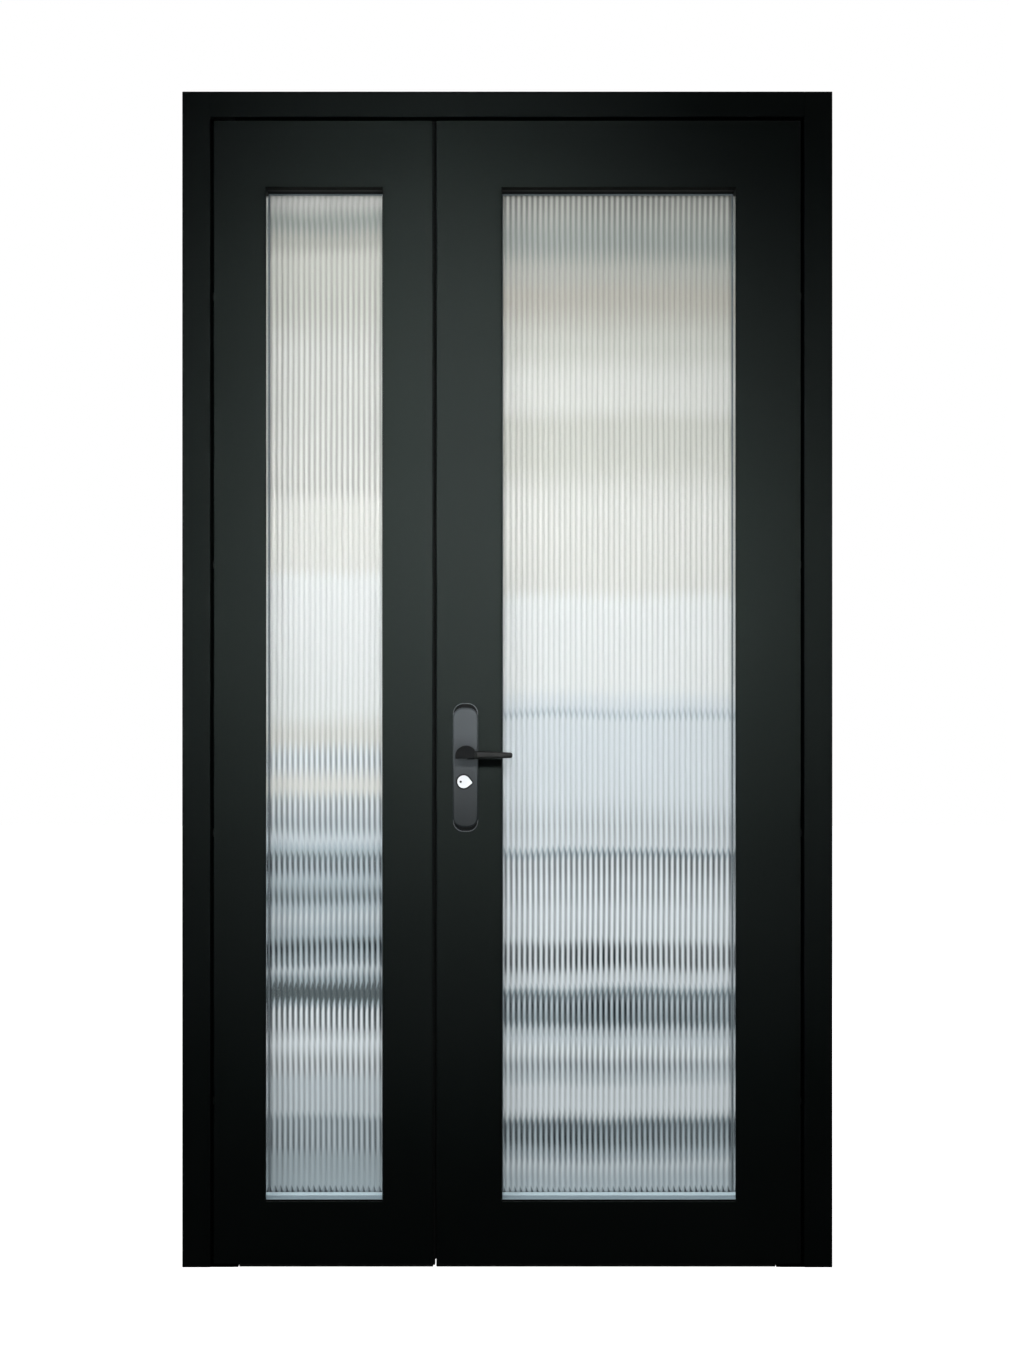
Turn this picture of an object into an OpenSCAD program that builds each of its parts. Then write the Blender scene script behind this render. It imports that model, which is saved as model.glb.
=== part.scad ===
// Unequal double door of black sheet steel with reeded glass, in its three-sided steel frame.
// X runs to the right, Y away from the viewer, Z up. The origin is on the floor, midway between
// the jambs and in the middle of the leaves' thickness. Both leaves open towards the viewer.

/* [Frame] */
// Overall width over the jambs
frame_w = 1200; // [1100:1:1600]
// Overall height over the head
frame_h = 2170; // [2000:1:2600]
// Depth of the frame from front to back
frame_d = 110; // [105:1:150]
// Width of a jamb's front face
jamb_face = 52; // [46:0.5:80]
// Height of the head's front face
head_face = 47; // [40:0.5:80]
// Wall of the folded frame sections
frame_wall = 2; // [1.5:0.1:3]
// How far the door stop stands out from the jambs and head
stop_w = 18; // [16:0.5:25]
// Space between the back of a leaf and the stop
stop_gap = 4.5; // [4.5:0.1:7]
// Width of the rubber seal on the stop
stop_seal_w = 12; // [8:0.5:14]
// Thickness of the rubber seal on the stop
stop_seal_t = 2; // [1:0.1:2]

/* [Wall fixings] */
// Bore of a fixing sleeve
fix_r = 5.25; // [3:0.25:7]
// Wall of a fixing sleeve
sleeve_wall = 2.75; // [1.5:0.25:4]
// Height of the lowest fixing
fix_low = 300; // [200:10:400]
// Distance of the highest fixing below the top of the frame
fix_high = 370; // [200:10:450]
// Number of fixings in each jamb
fix_count = 4; // [3:1:5]

/* [Leaves] */
// Thickness of a leaf
leaf_t = 70; // [66:0.5:80]
// Width of the narrow leaf
inactive_w = 405; // [360:1:460]
// Gap between a leaf and its jamb
side_gap = 6; // [5.5:0.1:8]
// Gap between the leaves and the head
head_gap = 7; // [6.5:0.1:10]
// Gap between the two leaves
meet_gap = 6; // [5.5:0.1:8]
// Gap between the leaves and the floor
floor_gap = 6; // [6:0.1:10]
// Thickness of the sheet skins
skin_t = 1.2; // [0.8:0.1:1.5]
// Wall of the tubes inside a leaf
tube_wall = 1.5; // [1.2:0.1:2]
// How far the back of the wide leaf's meeting edge is set back
step_w = 3; // [3:0.1:5]
// Depth from the front face at which that set-back starts
step_d = 25; // [22:0.5:25]

/* [Stiles and rails] */
// Narrow leaf's stile on the hinge side
inactive_hinge_stile_w = 96; // [85:1:110]
// Narrow leaf's stile on the meeting side
inactive_meeting_stile_w = 93; // [85:1:110]
// Wide leaf's stile that holds the lock
active_lock_stile_w = 121; // [115:1:140]
// Wide leaf's stile on the hinge side
active_hinge_stile_w = 120; // [90:1:140]
// Height of the top rails
top_rail_h = 123; // [90:1:160]
// Height of the bottom rails
bottom_rail_h = 115.6; // [90:0.1:160]

/* [Glazing] */
// Depth from the front face to the seat of the glass
reveal_d = 39; // [34:0.5:41]
// How wide the seat of the glass is
rebate_w = 20; // [17:0.5:24]
// Thickness of the glass over its reeds
glass_t = 8; // [6:0.5:9]
// How far the glass reaches behind the edge of the window
glass_cover = 12; // [10:0.5:14]
// Width of one reed
reed_pitch = 10; // [8:0.5:16]
// Height of a reed
reed_h = 1.5; // [1:0.1:2.5]
// Thickness of the gasket in front of the glass and of the one behind it
gasket_t = 2.9; // [2:0.1:3.5]
// How far the gaskets show inside the window
gasket_lip = 2.5; // [1:0.1:4]
// How far the gaskets reach behind the edge of the window
gasket_cover = 9; // [6:0.5:10]
// Wall of the hollow glazing beads
bead_wall = 1.5; // [1:0.1:2]
// Clearance of the glazing parts
glaze_clear = 0.1; // [0.1:0.05:0.2]
// Length of a block under the glass
setting_l = 60; // [40:1:80]

/* [Pivots] */
// Distance of the pivot from the leaf's hinge edge
pivot_in = 16; // [16:0.5:18]
// Distance of the pivot behind the leaf's front face
pivot_back = 11; // [11:0.1:11.5]
// Radius of the pivot pin
pin_r = 5; // [4:0.1:6]
// Radial running clearance of pins in their bores
run_clear = 0.05; // [0.02:0.01:0.1]
// Thickness of the pivot plates
pivot_plate_t = 5; // [4:0.1:5.5]
// How far a pivot plate reaches past the pin
pivot_plate_reach = 22; // [16:1:28]
// Height of the bearing block in a leaf
pivot_block_h = 30; // [24:1:40]
// How far the bearing block reaches past the pin
pivot_block_reach = 12; // [10:0.5:16]
// How much wider the pin's collar is than the pin
collar_w = 2; // [1.5:0.1:2.5]
// Clearance of pins and bolts in the sheet metal
hole_clear = 1; // [0.6:0.1:1.2]

/* [Lock] */
// Distance of the spindle from the wide leaf's meeting edge
backset = 54; // [50:0.5:60]
// Height of the spindle over the floor
handle_h = 950; // [900:5:1050]
// Distance of the key below the spindle
key_drop = 55; // [50:0.5:70]
// Width of a handle plate
plate_w = 46; // [44:0.5:52]
// Height of a handle plate
plate_h = 237; // [220:1:260]
// Corner radius of a handle plate
plate_r = 19; // [12:0.5:21]
// Height of the plate's middle above the key
plate_mid = 27.5; // [20:0.5:35]
// Thickness of the plate's rim
rim_t = 3.5; // [2:0.1:5]
// Width of the plate's rim along its sides
rim_side = 1.5; // [1:0.1:4]
// Width of the plate's rim at its round ends
rim_end = 8.5; // [4:0.1:10]
// How far the plate's face stands above its rim
face_t = 5; // [3:0.1:7]
// Distance of a plate screw from the plate's middle
plate_screw_at = 95; // [90:1:98]
// Radius of a plate screw
plate_screw_r = 2.5; // [2:0.1:3]
// Radius of a plate screw's head
plate_screw_head_r = 4.5; // [4:0.1:5.5]
// Depth of the lock case from its faceplate
case_d = 78; // [74:0.5:84]
// Thickness of the lock case
case_t = 18; // [16:0.5:22]
// Height of the lock case
case_h = 170; // [160:1:180]
// Wall of the lock case
case_wall = 1.5; // [1:0.1:2]
// Width of the plates that are let into the meeting edges
edge_plate_w = 24; // [22:0.5:28]
// How far the lock's and strike's edge plates reach past the lock case
edge_plate_over = 25; // [18:1:35]
// Clearance of a plate in its cut-out and of a bolt in its slot
let_in = 0.2; // [0.1:0.05:0.4]
// Thickness of the latch and the dead bolt
bolt_t = 10; // [8:0.5:12]
// Height of the latch
latch_h = 20; // [16:0.5:24]
// Height of the dead bolt
dead_h = 28; // [22:0.5:32]
// Length of the latch and the dead bolt
bolt_l = 34; // [30:0.5:36]
// Space around a bolt in the strike plate
strike_clear = 2.5; // [1.5:0.1:3]
// How far the strike box reaches past the strike plate
strike_box_over = 15; // [10:1:30]

/* [Handle and key] */
// Side of the square spindle
spindle_s = 8; // [7:0.5:9]
// Radius of a lever's neck
neck_r = 9; // [8:0.1:10]
// How far a lever stands out from the leaf
lever_out = 65; // [55:0.5:75]
// Thickness of a lever's grip
grip_t = 16; // [12:0.5:20]
// Length of a lever from the spindle to its tip
lever_l = 86; // [75:0.5:110]
// Radius of a lever's round root
root_r = 22; // [20:0.1:24]
// How far the root's centre lies below the spindle
root_drop = 8; // [6:0.1:9]
// Depth of a lever's flat underside below the spindle
lever_under = 11.5; // [10.5:0.1:13]
// Height of the grip at its root
grip_h = 15; // [13:0.1:18]
// Height of the grip at its tip
tip_h = 7.4; // [6:0.1:10]
// How far the tip's middle lies below the spindle
tip_drop = 5.5; // [4.5:0.1:7]
// Radius of the lock cylinder
cylinder_r = 8.5; // [8:0.1:8.8]
// Radius of the turning plug in the lock cylinder
plug_r = 5.5; // [5:0.1:6.5]
// Width of the key slot
key_w = 2; // [1.5:0.1:2.5]
// Height of the key slot
key_h = 8; // [6:0.1:9]
// Radius of the thumb turn's disc
turn_r = 14; // [13:0.1:16]
// How far the thumb turn stands out from the inner plate
turn_out = 22; // [16:0.5:28]
// Width of the thumb turn's grip
turn_w = 6; // [5:0.5:8]
// Radius of the key cover's round part
cover_r = 12.2; // [11.8:0.1:13]
// Distance of the cover's rivet from the key
cover_reach = 10.2; // [10:0.1:12]
// How far the middle of the cover's round part lies past the key, away from the rivet
cover_past = 2.5; // [0:0.1:3]
// Radius of the cover's tip around the rivet
cover_tip_r = 2.6; // [2.4:0.1:3.4]
// Thickness of the key cover
cover_t = 2.4; // [1.5:0.1:3]
// Radius of the cover's rivet
rivet_r = 1.2; // [1:0.1:1.4]
// Radius of the rivet's head
rivet_head_r = 2.2; // [2:0.1:2.5]
// Height of the rivet's head
rivet_head_t = 1.2; // [0.8:0.1:2]
// Space between a moving cover or turn and its plate
slip = 0.3; // [0.2:0.05:0.4]

/* [Flush bolts] */
// Radius of a flush bolt's rod
rod_r = 6; // [5:0.1:7]
// Distance of a rod from the narrow leaf's meeting edge
rod_in = 18; // [16:0.5:22]
// Length of a rod
rod_l = 230; // [215:1:300]
// Height of a rod's guide
guide_h = 120; // [100:1:130]
// Depth of a rod's guide
guide_d = 28; // [26:0.5:32]
// How far a rod is thrown
rod_throw = 20; // [12:0.5:24]
// Height of the slide on a rod
slide_h = 30; // [20:0.5:35]
// Width of the slide on a rod
slide_w = 8; // [6:0.5:10]
// How far the edge plate reaches past the guide
guide_over = 20; // [15:1:30]
// Thickness of the keep plate under the head
keep_t = 2; // [1.5:0.1:3]
// Width of the keep plate
keep_w = 30; // [26:1:40]
// Length of the keep plate
keep_l = 60; // [50:1:80]

/* [Seals] */
// Depth of the seal between the leaves
meet_seal_d = 16; // [12:0.5:16]
// Distance of that seal behind the front face
meet_seal_back = 6; // [5:0.5:8]
// Gap between that seal and the wide leaf
meet_seal_gap = 0.35; // [0.3:0.05:0.5]
// Height over the floor at which that seal ends
meet_seal_low = 20; // [15:1:30]
// Depth of the seal under a leaf
floor_seal_d = 12; // [8:0.5:16]
// Distance of that seal behind the front face
floor_seal_back = 5; // [4:0.5:8]
// Gap between that seal and the floor
floor_seal_gap = 1; // [0.5:0.1:2]
// Distance of that seal from the pivot's side of the leaf
floor_seal_in = 70; // [66:1:90]

/* [Hidden] */
$fn = 64;
eps = 0.5;

// Faces of the leaves and the frame
front_y = -leaf_t / 2;
back_y = leaf_t / 2;
frame_back_y = front_y + frame_d;
outer_x = frame_w / 2;
jamb_x = outer_x - jamb_face;
stop_x = jamb_x - stop_w;
stop_y = back_y + stop_gap;
head_z = frame_h - head_face;
stop_z = head_z - stop_w;

// Each leaf as its left edge, window's left edge, window's right edge and right edge
inactive_x0 = -jamb_x + side_gap;
inactive_x1 = inactive_x0 + inactive_w;
active_x0 = inactive_x1 + meet_gap;
active_x1 = jamb_x - side_gap;
INACTIVE = [
  inactive_x0,
  inactive_x0 + inactive_hinge_stile_w,
  inactive_x1 - inactive_meeting_stile_w,
  inactive_x1
];
ACTIVE = [
  active_x0,
  active_x0 + active_lock_stile_w,
  active_x1 - active_hinge_stile_w,
  active_x1
];
leaf_z0 = floor_gap;
leaf_z1 = head_z - head_gap;
window_z0 = leaf_z0 + bottom_rail_h;
window_z1 = leaf_z1 - top_rail_h;

// Layers through a leaf
tube_y0 = front_y + skin_t;
tube_y1 = back_y - skin_t;
seat_y = front_y + reveal_d;
glass_y0 = seat_y + gasket_t + glaze_clear;
glass_y1 = glass_y0 + glass_t;
bead_y0 = glass_y1 + gasket_t + glaze_clear;
step_y = front_y + step_d;
reed_r = (reed_pitch * reed_pitch / 4 + reed_h * reed_h) / (2 * reed_h);
edge_t = skin_t + tube_wall;

// Pivot axes
pivot_y = front_y + pivot_back;
inactive_pivot_x = inactive_x0 + pivot_in;
active_pivot_x = active_x1 - pivot_in;
block_z0 = leaf_z0 + edge_t;
block_z1 = leaf_z1 - edge_t;
collar_r = pin_r + collar_w;

// Lock and handle
lock_y = (step_y + back_y) / 2;
lock_x = active_x0 + backset;
lock_face_x = active_x0 + step_w;
key_z = handle_h - key_drop;
plate_z = key_z + plate_mid;
plate_out = rim_t + face_t;
case_z0 = plate_z - case_h / 2;
lever_gap_y = leaf_t / 2 + lever_out - grip_t;
cylinder_out = leaf_t / 2 + plate_out;
cover_y = leaf_t / 2 + plate_out + slip;
rivet_x = lock_x + cover_reach;
edge_plate_h = case_h + 2 * edge_plate_over;
strike_z0 = plate_z - edge_plate_h / 2 - strike_box_over;
strike_z1 = plate_z + edge_plate_h / 2 + strike_box_over;

// Flush bolts
rod_x = inactive_x1 - rod_in;
upper_rod_z = leaf_z1 - rod_l;
lower_rod_z = leaf_z0 + rod_l;
rod_hole_r = rod_r + hole_clear;

// A box between two corners
module box(low, high) {
  translate(low) cube(high - low);
}

// A cylinder along Y from one depth to another
module rod_along_y(x, z, r, y0, y1) {
  translate([x, y1, z]) rotate([90, 0, 0]) cylinder(r = r, h = y1 - y0);
}

// A cylinder along X from one side to the other
module rod_along_x(y, z, r, x0, x1) {
  translate([x0, y, z]) rotate([0, 90, 0]) cylinder(r = r, h = x1 - x0);
}

// A cylinder along Z from one height to another
module rod_along_z(x, y, r, z0, z1) {
  translate([x, y, z0]) cylinder(r = r, h = z1 - z0);
}

// The height of each wall fixing
function fixing_heights() = [
  for (i = [0 : fix_count - 1]) fix_low + i * (frame_h - fix_low - fix_high) / (fix_count - 1)
];

// A jamb on the left: a closed box section with the stop folded on its back half
module jamb_left() {
  difference() {
    union() {
      box([-outer_x, front_y, 0], [-jamb_x, frame_back_y, frame_h]);
      box([-jamb_x - frame_wall, stop_y, 0], [-stop_x, frame_back_y, stop_z]);
    }
    box(
      [-outer_x + frame_wall, front_y + frame_wall, frame_wall],
      [-jamb_x - frame_wall, frame_back_y - frame_wall, frame_h - frame_wall]
    );
    box(
      [-jamb_x - 2 * frame_wall, stop_y + frame_wall, frame_wall],
      [-stop_x - frame_wall, frame_back_y - frame_wall, stop_z - frame_wall]
    );
    for (z = fixing_heights())
      rod_along_x(0, z, fix_r + sleeve_wall + run_clear, -outer_x - eps, -jamb_x + eps);
  }
}

module jamb_seal_left() {
  seal_x = -jamb_x + (stop_w - stop_seal_w) / 2;
  box([seal_x, stop_y - stop_seal_t, 0], [seal_x + stop_seal_w, stop_y, head_seal_z()]);
}

// The lower edge of the seal on the head's stop
function head_seal_z() = stop_z + (stop_w - stop_seal_w) / 2;

// The sleeves that take the wall screws through the left jamb
module fixing_sleeves_left() {
  for (z = fixing_heights()) difference() {
    rod_along_x(0, z, fix_r + sleeve_wall, -outer_x, -jamb_x);
    rod_along_x(0, z, fix_r, -outer_x - eps, -jamb_x + eps);
  }
}

// The floor pivot under a leaf's left edge: a plate against the jamb, a collar and a pin
module floor_pivot_left() {
  box(
    [-jamb_x, pivot_y - pivot_back + skin_t, 0],
    [inactive_pivot_x + pivot_plate_reach, pivot_y + pivot_plate_reach, pivot_plate_t]
  );
  rod_along_z(inactive_pivot_x, pivot_y, collar_r, pivot_plate_t - eps, block_z0);
  rod_along_z(inactive_pivot_x, pivot_y, pin_r, block_z0 - eps, block_z0 + pivot_block_h);
}

// The top pivot over a leaf's left edge: a plate against the head and a pin that hangs from it
module top_pivot_left() {
  box(
    [-jamb_x, pivot_y - pivot_back + skin_t, head_z - pivot_plate_t],
    [inactive_pivot_x + pivot_plate_reach, pivot_y + pivot_plate_reach, head_z]
  );
  rod_along_z(
    inactive_pivot_x, pivot_y, pin_r, block_z1 - pivot_block_h, head_z - pivot_plate_t + eps
  );
}

// Holes for the pivot's pin and collar in the top and bottom edges of a leaf
module pivot_holes(x) {
  for (z = [leaf_z0, leaf_z1])
    rod_along_z(x, pivot_y, collar_r + hole_clear, z - edge_t - eps, z + edge_t + eps);
}

// The bearing blocks in the lower and upper corner of a leaf, from the inner face of the tube's edge
module pivot_blocks(pivot_x, tube_x) {
  away = sign(pivot_x - tube_x);
  far_x = pivot_x + away * pivot_block_reach;
  for (z = [block_z0, block_z1 - pivot_block_h]) difference() {
    box(
      [min(tube_x, far_x), tube_y0 + tube_wall, z],
      [max(tube_x, far_x), pivot_y + pivot_block_reach, z + pivot_block_h]
    );
    rod_along_z(pivot_x, pivot_y, pin_r + run_clear, z - eps, z + pivot_block_h + eps);
  }
}

// The space of a leaf's window, grown by a margin, between two depths
module window_space(leaf, grow, y0, y1) {
  box([leaf[1] - grow, y0, window_z0 - grow], [leaf[2] + grow, y1, window_z1 + grow]);
}

// The set-back along the back of the wide leaf's meeting edge, grown by a margin
module meeting_step(grow) {
  box(
    [active_x0 - eps, step_y - grow, leaf_z0 - eps],
    [active_x0 + step_w + grow, back_y + eps, leaf_z1 + eps]
  );
}

// The front skin of a leaf: a folded pan whose window edges are folded back to the glass seat.
// Children are cut from the pan's outside, then from its inside.
module front_skin(leaf) {
  difference() {
    box([leaf[0], front_y, leaf_z0], [leaf[3], tube_y1, leaf_z1]);
    difference() {
      box(
        [leaf[0] + skin_t, tube_y0, leaf_z0 + skin_t],
        [leaf[3] - skin_t, back_y, leaf_z1 - skin_t]
      );
      if ($children > 1) children(1);
    }
    window_space(leaf, skin_t, front_y - eps, tube_y0 + eps);
    if ($children > 0) children(0);
  }
  difference() {
    window_space(leaf, skin_t, front_y, seat_y);
    window_space(leaf, 0, front_y - eps, seat_y + eps);
  }
}

// The back skin of a leaf: a flat sheet that is open over the glazing rebate
module back_skin(leaf) {
  difference() {
    box([leaf[0], tube_y1, leaf_z0], [leaf[3], back_y, leaf_z1]);
    window_space(leaf, rebate_w, tube_y1 - eps, back_y + eps);
    children();
  }
}

// A closed tube of a leaf, notched for the glazing rebate.
// Children are cut from the tube's outside, then kept clear of its hollow.
module leaf_tube(leaf, x0, x1, z0, z1) {
  difference() {
    box([x0, tube_y0, z0], [x1, tube_y1, z1]);
    window_space(leaf, rebate_w, seat_y, back_y + eps);
    difference() {
      box(
        [x0 + tube_wall, tube_y0 + tube_wall, z0 + tube_wall],
        [x1 - tube_wall, tube_y1 - tube_wall, z1 - tube_wall]
      );
      window_space(leaf, rebate_w + tube_wall, seat_y - tube_wall, back_y + eps);
      if ($children > 1) children(1);
    }
    if ($children > 0) children(0);
  }
}

module left_stile(leaf) {
  leaf_tube(leaf, leaf[0] + skin_t, leaf[1] - skin_t, leaf_z0 + skin_t, leaf_z1 - skin_t) {
    children(0);
    if ($children > 1) children(1);
  }
}

module right_stile(leaf) {
  leaf_tube(leaf, leaf[2] + skin_t, leaf[3] - skin_t, leaf_z0 + skin_t, leaf_z1 - skin_t)
    children();
}

// One length of the narrow leaf's meeting stile
module meeting_tube(z0, z1) {
  leaf_tube(INACTIVE, INACTIVE[2] + skin_t, INACTIVE[3] - skin_t, z0, z1) union() children();
}

module top_rail(leaf) {
  leaf_tube(leaf, leaf[1] - skin_t, leaf[2] + skin_t, window_z1 + skin_t, leaf_z1 - skin_t);
}

module bottom_rail(leaf) {
  leaf_tube(leaf, leaf[1] - skin_t, leaf[2] + skin_t, leaf_z0 + skin_t, window_z0 - skin_t);
}

// The section of a reeded pane: a flat sheet with round reeds on its front
module reed_section(w) {
  reeds = ceil(w / reed_pitch);
  translate([0, reed_h + eps / 2]) square([w, glass_t - reed_h - eps / 2]);
  intersection() {
    square([w, reed_h + eps]);
    union() {
      for (i = [0 : reeds - 1])
        translate([(i + 0.5) * reed_pitch, reed_r]) circle(r = reed_r);
    }
  }
}

module glass(leaf) {
  translate([leaf[1] - glass_cover, glass_y0, window_z0 - glass_cover])
    linear_extrude(height = window_z1 - window_z0 + 2 * glass_cover)
      reed_section(leaf[2] - leaf[1] + 2 * glass_cover);
}

// The gasket rings in front of and behind the glass, and the blocks that it stands on
module gaskets(leaf) {
  for (y = [seat_y, glass_y1 + glaze_clear]) difference() {
    window_space(leaf, gasket_cover, y, y + gasket_t);
    window_space(leaf, -gasket_lip, y - eps, y + gasket_t + eps);
  }
  for (x = [leaf[1], leaf[2] - setting_l])
    box(
      [x, glass_y0 + reed_h, window_z0 - rebate_w],
      [x + setting_l, glass_y1, window_z0 - glass_cover]
    );
}

// The hollow beads at the sides of the glass, which run past the others
module side_beads(leaf) {
  z0 = window_z0 - rebate_w + glaze_clear;
  z1 = window_z1 + rebate_w - glaze_clear;
  for (x = [leaf[1] - rebate_w + glaze_clear, leaf[2]]) difference() {
    box([x, bead_y0, z0], [x + rebate_w - glaze_clear, back_y, z1]);
    box(
      [x + bead_wall, bead_y0 + bead_wall, z0 - eps],
      [x + rebate_w - glaze_clear - bead_wall, back_y - bead_wall, z1 + eps]
    );
  }
}

// The hollow beads above and below the glass
module cross_beads(leaf) {
  for (z = [window_z0 - rebate_w + glaze_clear, window_z1]) difference() {
    box([leaf[1], bead_y0, z], [leaf[2], back_y, z + rebate_w - glaze_clear]);
    box(
      [leaf[1] - eps, bead_y0 + bead_wall, z + bead_wall],
      [leaf[2] + eps, back_y - bead_wall, z + rebate_w - glaze_clear - bead_wall]
    );
  }
}

module floor_seal(x0, x1) {
  box(
    [x0, front_y + floor_seal_back, floor_seal_gap],
    [x1, front_y + floor_seal_back + floor_seal_d, leaf_z0]
  );
}

// The plan of a handle plate about its middle, drawn in at its sides and at its ends
module plate_outline(in_side, in_end) {
  w = plate_w - 2 * in_side;
  h = plate_h - 2 * in_end;
  r = plate_r;
  square([w, h - 2 * r], center = true);
  square([w - 2 * r, h], center = true);
  for (x = [-1, 1], z = [-1, 1])
    translate([x * (w / 2 - r), z * (h / 2 - r)]) circle(r = r);
}

// A handle plate on the front face: a thin rim with a raised face, bored for handle and cylinder
module front_plate() {
  difference() {
    translate([lock_x, front_y, plate_z]) rotate([90, 0, 0]) {
      linear_extrude(height = rim_t) plate_outline(0, 0);
      linear_extrude(height = plate_out) plate_outline(rim_side, rim_end);
    }
    rod_along_y(lock_x, handle_h, neck_r + run_clear, front_y - plate_out - eps, front_y + eps);
    rod_along_y(lock_x, key_z, cylinder_r + run_clear, front_y - plate_out - eps, front_y + eps);
    children();
  }
}

// The two places along a handle plate where it is screwed
module at_plate_screws() {
  for (side = [-1, 1]) translate([lock_x, 0, plate_z + side * plate_screw_at]) children();
}

// Holes for the handle, the cylinder and the plate screws through the lock stile
module lock_holes() {
  rod_along_y(lock_x, handle_h, neck_r + hole_clear, front_y - eps, back_y + eps);
  rod_along_y(lock_x, key_z, cylinder_r + hole_clear, front_y - eps, back_y + eps);
  at_plate_screws() rod_along_y(0, 0, plate_screw_r + hole_clear, front_y - eps, back_y + eps);
}

// The cut-out for a plate let into a meeting edge, from one side of the edge to the other
module edge_cut(x0, x1, z_mid, h) {
  box(
    [x0, lock_y - edge_plate_w / 2 - let_in, z_mid - h / 2 - let_in],
    [x1, lock_y + edge_plate_w / 2 + let_in, z_mid + h / 2 + let_in]
  );
}

// The cut-out for the lock in the wide leaf's edge
module lock_cut() {
  edge_cut(lock_face_x - eps, lock_face_x + edge_t + eps, plate_z, edge_plate_h);
}

// A bolt of the lock and the slot that it slides in, both between two sides
module lock_bolt(z, h, margin, x0, x1) {
  box(
    [x0, lock_y - bolt_t / 2 - margin, z - h / 2 - margin],
    [x1, lock_y + bolt_t / 2 + margin, z + h / 2 + margin]
  );
}

// The middle height of a flush bolt's guide, of which the far end of the rod is one end
function guide_mid(rod_end_z, up) = rod_end_z + up * guide_h / 2;

// The cut-out for a flush bolt's guide in the narrow leaf's edge
module guide_cut(rod_end_z, up) {
  edge_cut(
    inactive_x1 - edge_t - eps, inactive_x1 + eps, guide_mid(rod_end_z, up), guide_h + 2 * guide_over
  );
}

// The holes for the rods in the bottom and top of the narrow leaf
module rod_holes() {
  for (z = [leaf_z0, leaf_z1])
    rod_along_z(rod_x, lock_y, rod_hole_r, z - edge_t - eps, z + edge_t + eps);
}

// The holes that take the thrown latch and dead bolt
module strike_holes() {
  lock_bolt(handle_h, latch_h, strike_clear, inactive_x1 - edge_t - eps, inactive_x1 + eps);
  lock_bolt(key_z, dead_h, strike_clear, inactive_x1 - edge_t - eps, inactive_x1 + eps);
}

// A flush bolt's guide: a plate in the leaf's edge and a bored block behind it, slotted for the slide
module bolt_guide(rod_end_z, up) {
  mid = guide_mid(rod_end_z, up);
  over = guide_h / 2 + guide_over;
  slot = guide_h / 2 - guide_over / 2;
  difference() {
    union() {
      box(
        [inactive_x1 - edge_t, lock_y - edge_plate_w / 2, mid - over],
        [inactive_x1, lock_y + edge_plate_w / 2, mid + over]
      );
      box(
        [inactive_x1 - edge_t - guide_d, lock_y - case_t / 2, mid - guide_h / 2],
        [inactive_x1 - edge_t + eps, lock_y + case_t / 2, mid + guide_h / 2]
      );
    }
    rod_along_z(rod_x, lock_y, rod_r + run_clear, mid - over - eps, mid + over + eps);
    box(
      [rod_x, lock_y - slide_w / 2 - let_in, mid - slot],
      [inactive_x1 + eps, lock_y + slide_w / 2 + let_in, mid + slot]
    );
  }
}

// A flush bolt's rod with the slide that moves it, ending flush with the leaf's edge
module bolt_rod(rod_end_z, up) {
  tip_z = rod_end_z + up * rod_l;
  mid = guide_mid(rod_end_z, up) - up * rod_throw / 2;
  rod_along_z(rod_x, lock_y, rod_r, min(rod_end_z, tip_z), max(rod_end_z, tip_z));
  box(
    [rod_x, lock_y - slide_w / 2, mid - slide_h / 2],
    [inactive_x1 - skin_t, lock_y + slide_w / 2, mid + slide_h / 2]
  );
}

// A lever's side view about the spindle: a round root that is cut flat below, and a tapering grip
module lever_outline() {
  intersection() {
    translate([0, -root_drop]) circle(r = root_r);
    translate([-root_r, -lever_under]) square([2 * root_r, 2 * root_r]);
  }
  polygon([
    [0, -lever_under],
    [lever_l - tip_h / 2, -tip_drop - tip_h / 2],
    [lever_l - tip_h / 2, -tip_drop + tip_h / 2],
    [0, -lever_under + grip_h]
  ]);
  translate([lever_l - tip_h / 2, -tip_drop]) circle(r = tip_h / 2);
}

// The lever on the front: the grip, and a neck that turns in the plate and takes the spindle
module front_lever() {
  difference() {
    union() {
      translate([lock_x, -lever_gap_y, handle_h]) rotate([90, 0, 0])
        linear_extrude(height = grip_t) lever_outline();
      rod_along_y(lock_x, handle_h, neck_r, -lever_gap_y - eps, front_y);
    }
    box(
      [lock_x - spindle_s / 2 - run_clear, -lever_gap_y, handle_h - spindle_s / 2 - run_clear],
      [lock_x + spindle_s / 2 + run_clear, front_y + eps, handle_h + spindle_s / 2 + run_clear]
    );
  }
}

module left_jamb() color("#17191a") jamb_left();

module right_jamb() color("#17191a") mirror([1, 0, 0]) jamb_left();

module head() color("#17191a") difference() {
  union() {
    box([-jamb_x, front_y, head_z], [jamb_x, frame_back_y, frame_h]);
    box([-jamb_x, stop_y, stop_z], [jamb_x, frame_back_y, head_z + frame_wall]);
  }
  box(
    [-jamb_x + frame_wall, front_y + frame_wall, head_z + frame_wall],
    [jamb_x - frame_wall, frame_back_y - frame_wall, frame_h - frame_wall]
  );
  box(
    [-jamb_x + frame_wall, stop_y + frame_wall, stop_z + frame_wall],
    [jamb_x - frame_wall, frame_back_y - frame_wall, head_z + 2 * frame_wall]
  );
  rod_along_z(rod_x, lock_y, rod_hole_r, head_z - eps, head_z + frame_wall + eps);
}

module left_jamb_seal() color("#101010") jamb_seal_left();

module right_jamb_seal() color("#101010") mirror([1, 0, 0]) jamb_seal_left();

module head_seal() color("#101010")
  box([-jamb_x, stop_y - stop_seal_t, head_seal_z()], [jamb_x, stop_y, head_seal_z() + stop_seal_w]);

module left_top_pivot() color("#6b6e70") top_pivot_left();

module right_top_pivot() color("#6b6e70") mirror([1, 0, 0]) top_pivot_left();

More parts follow.
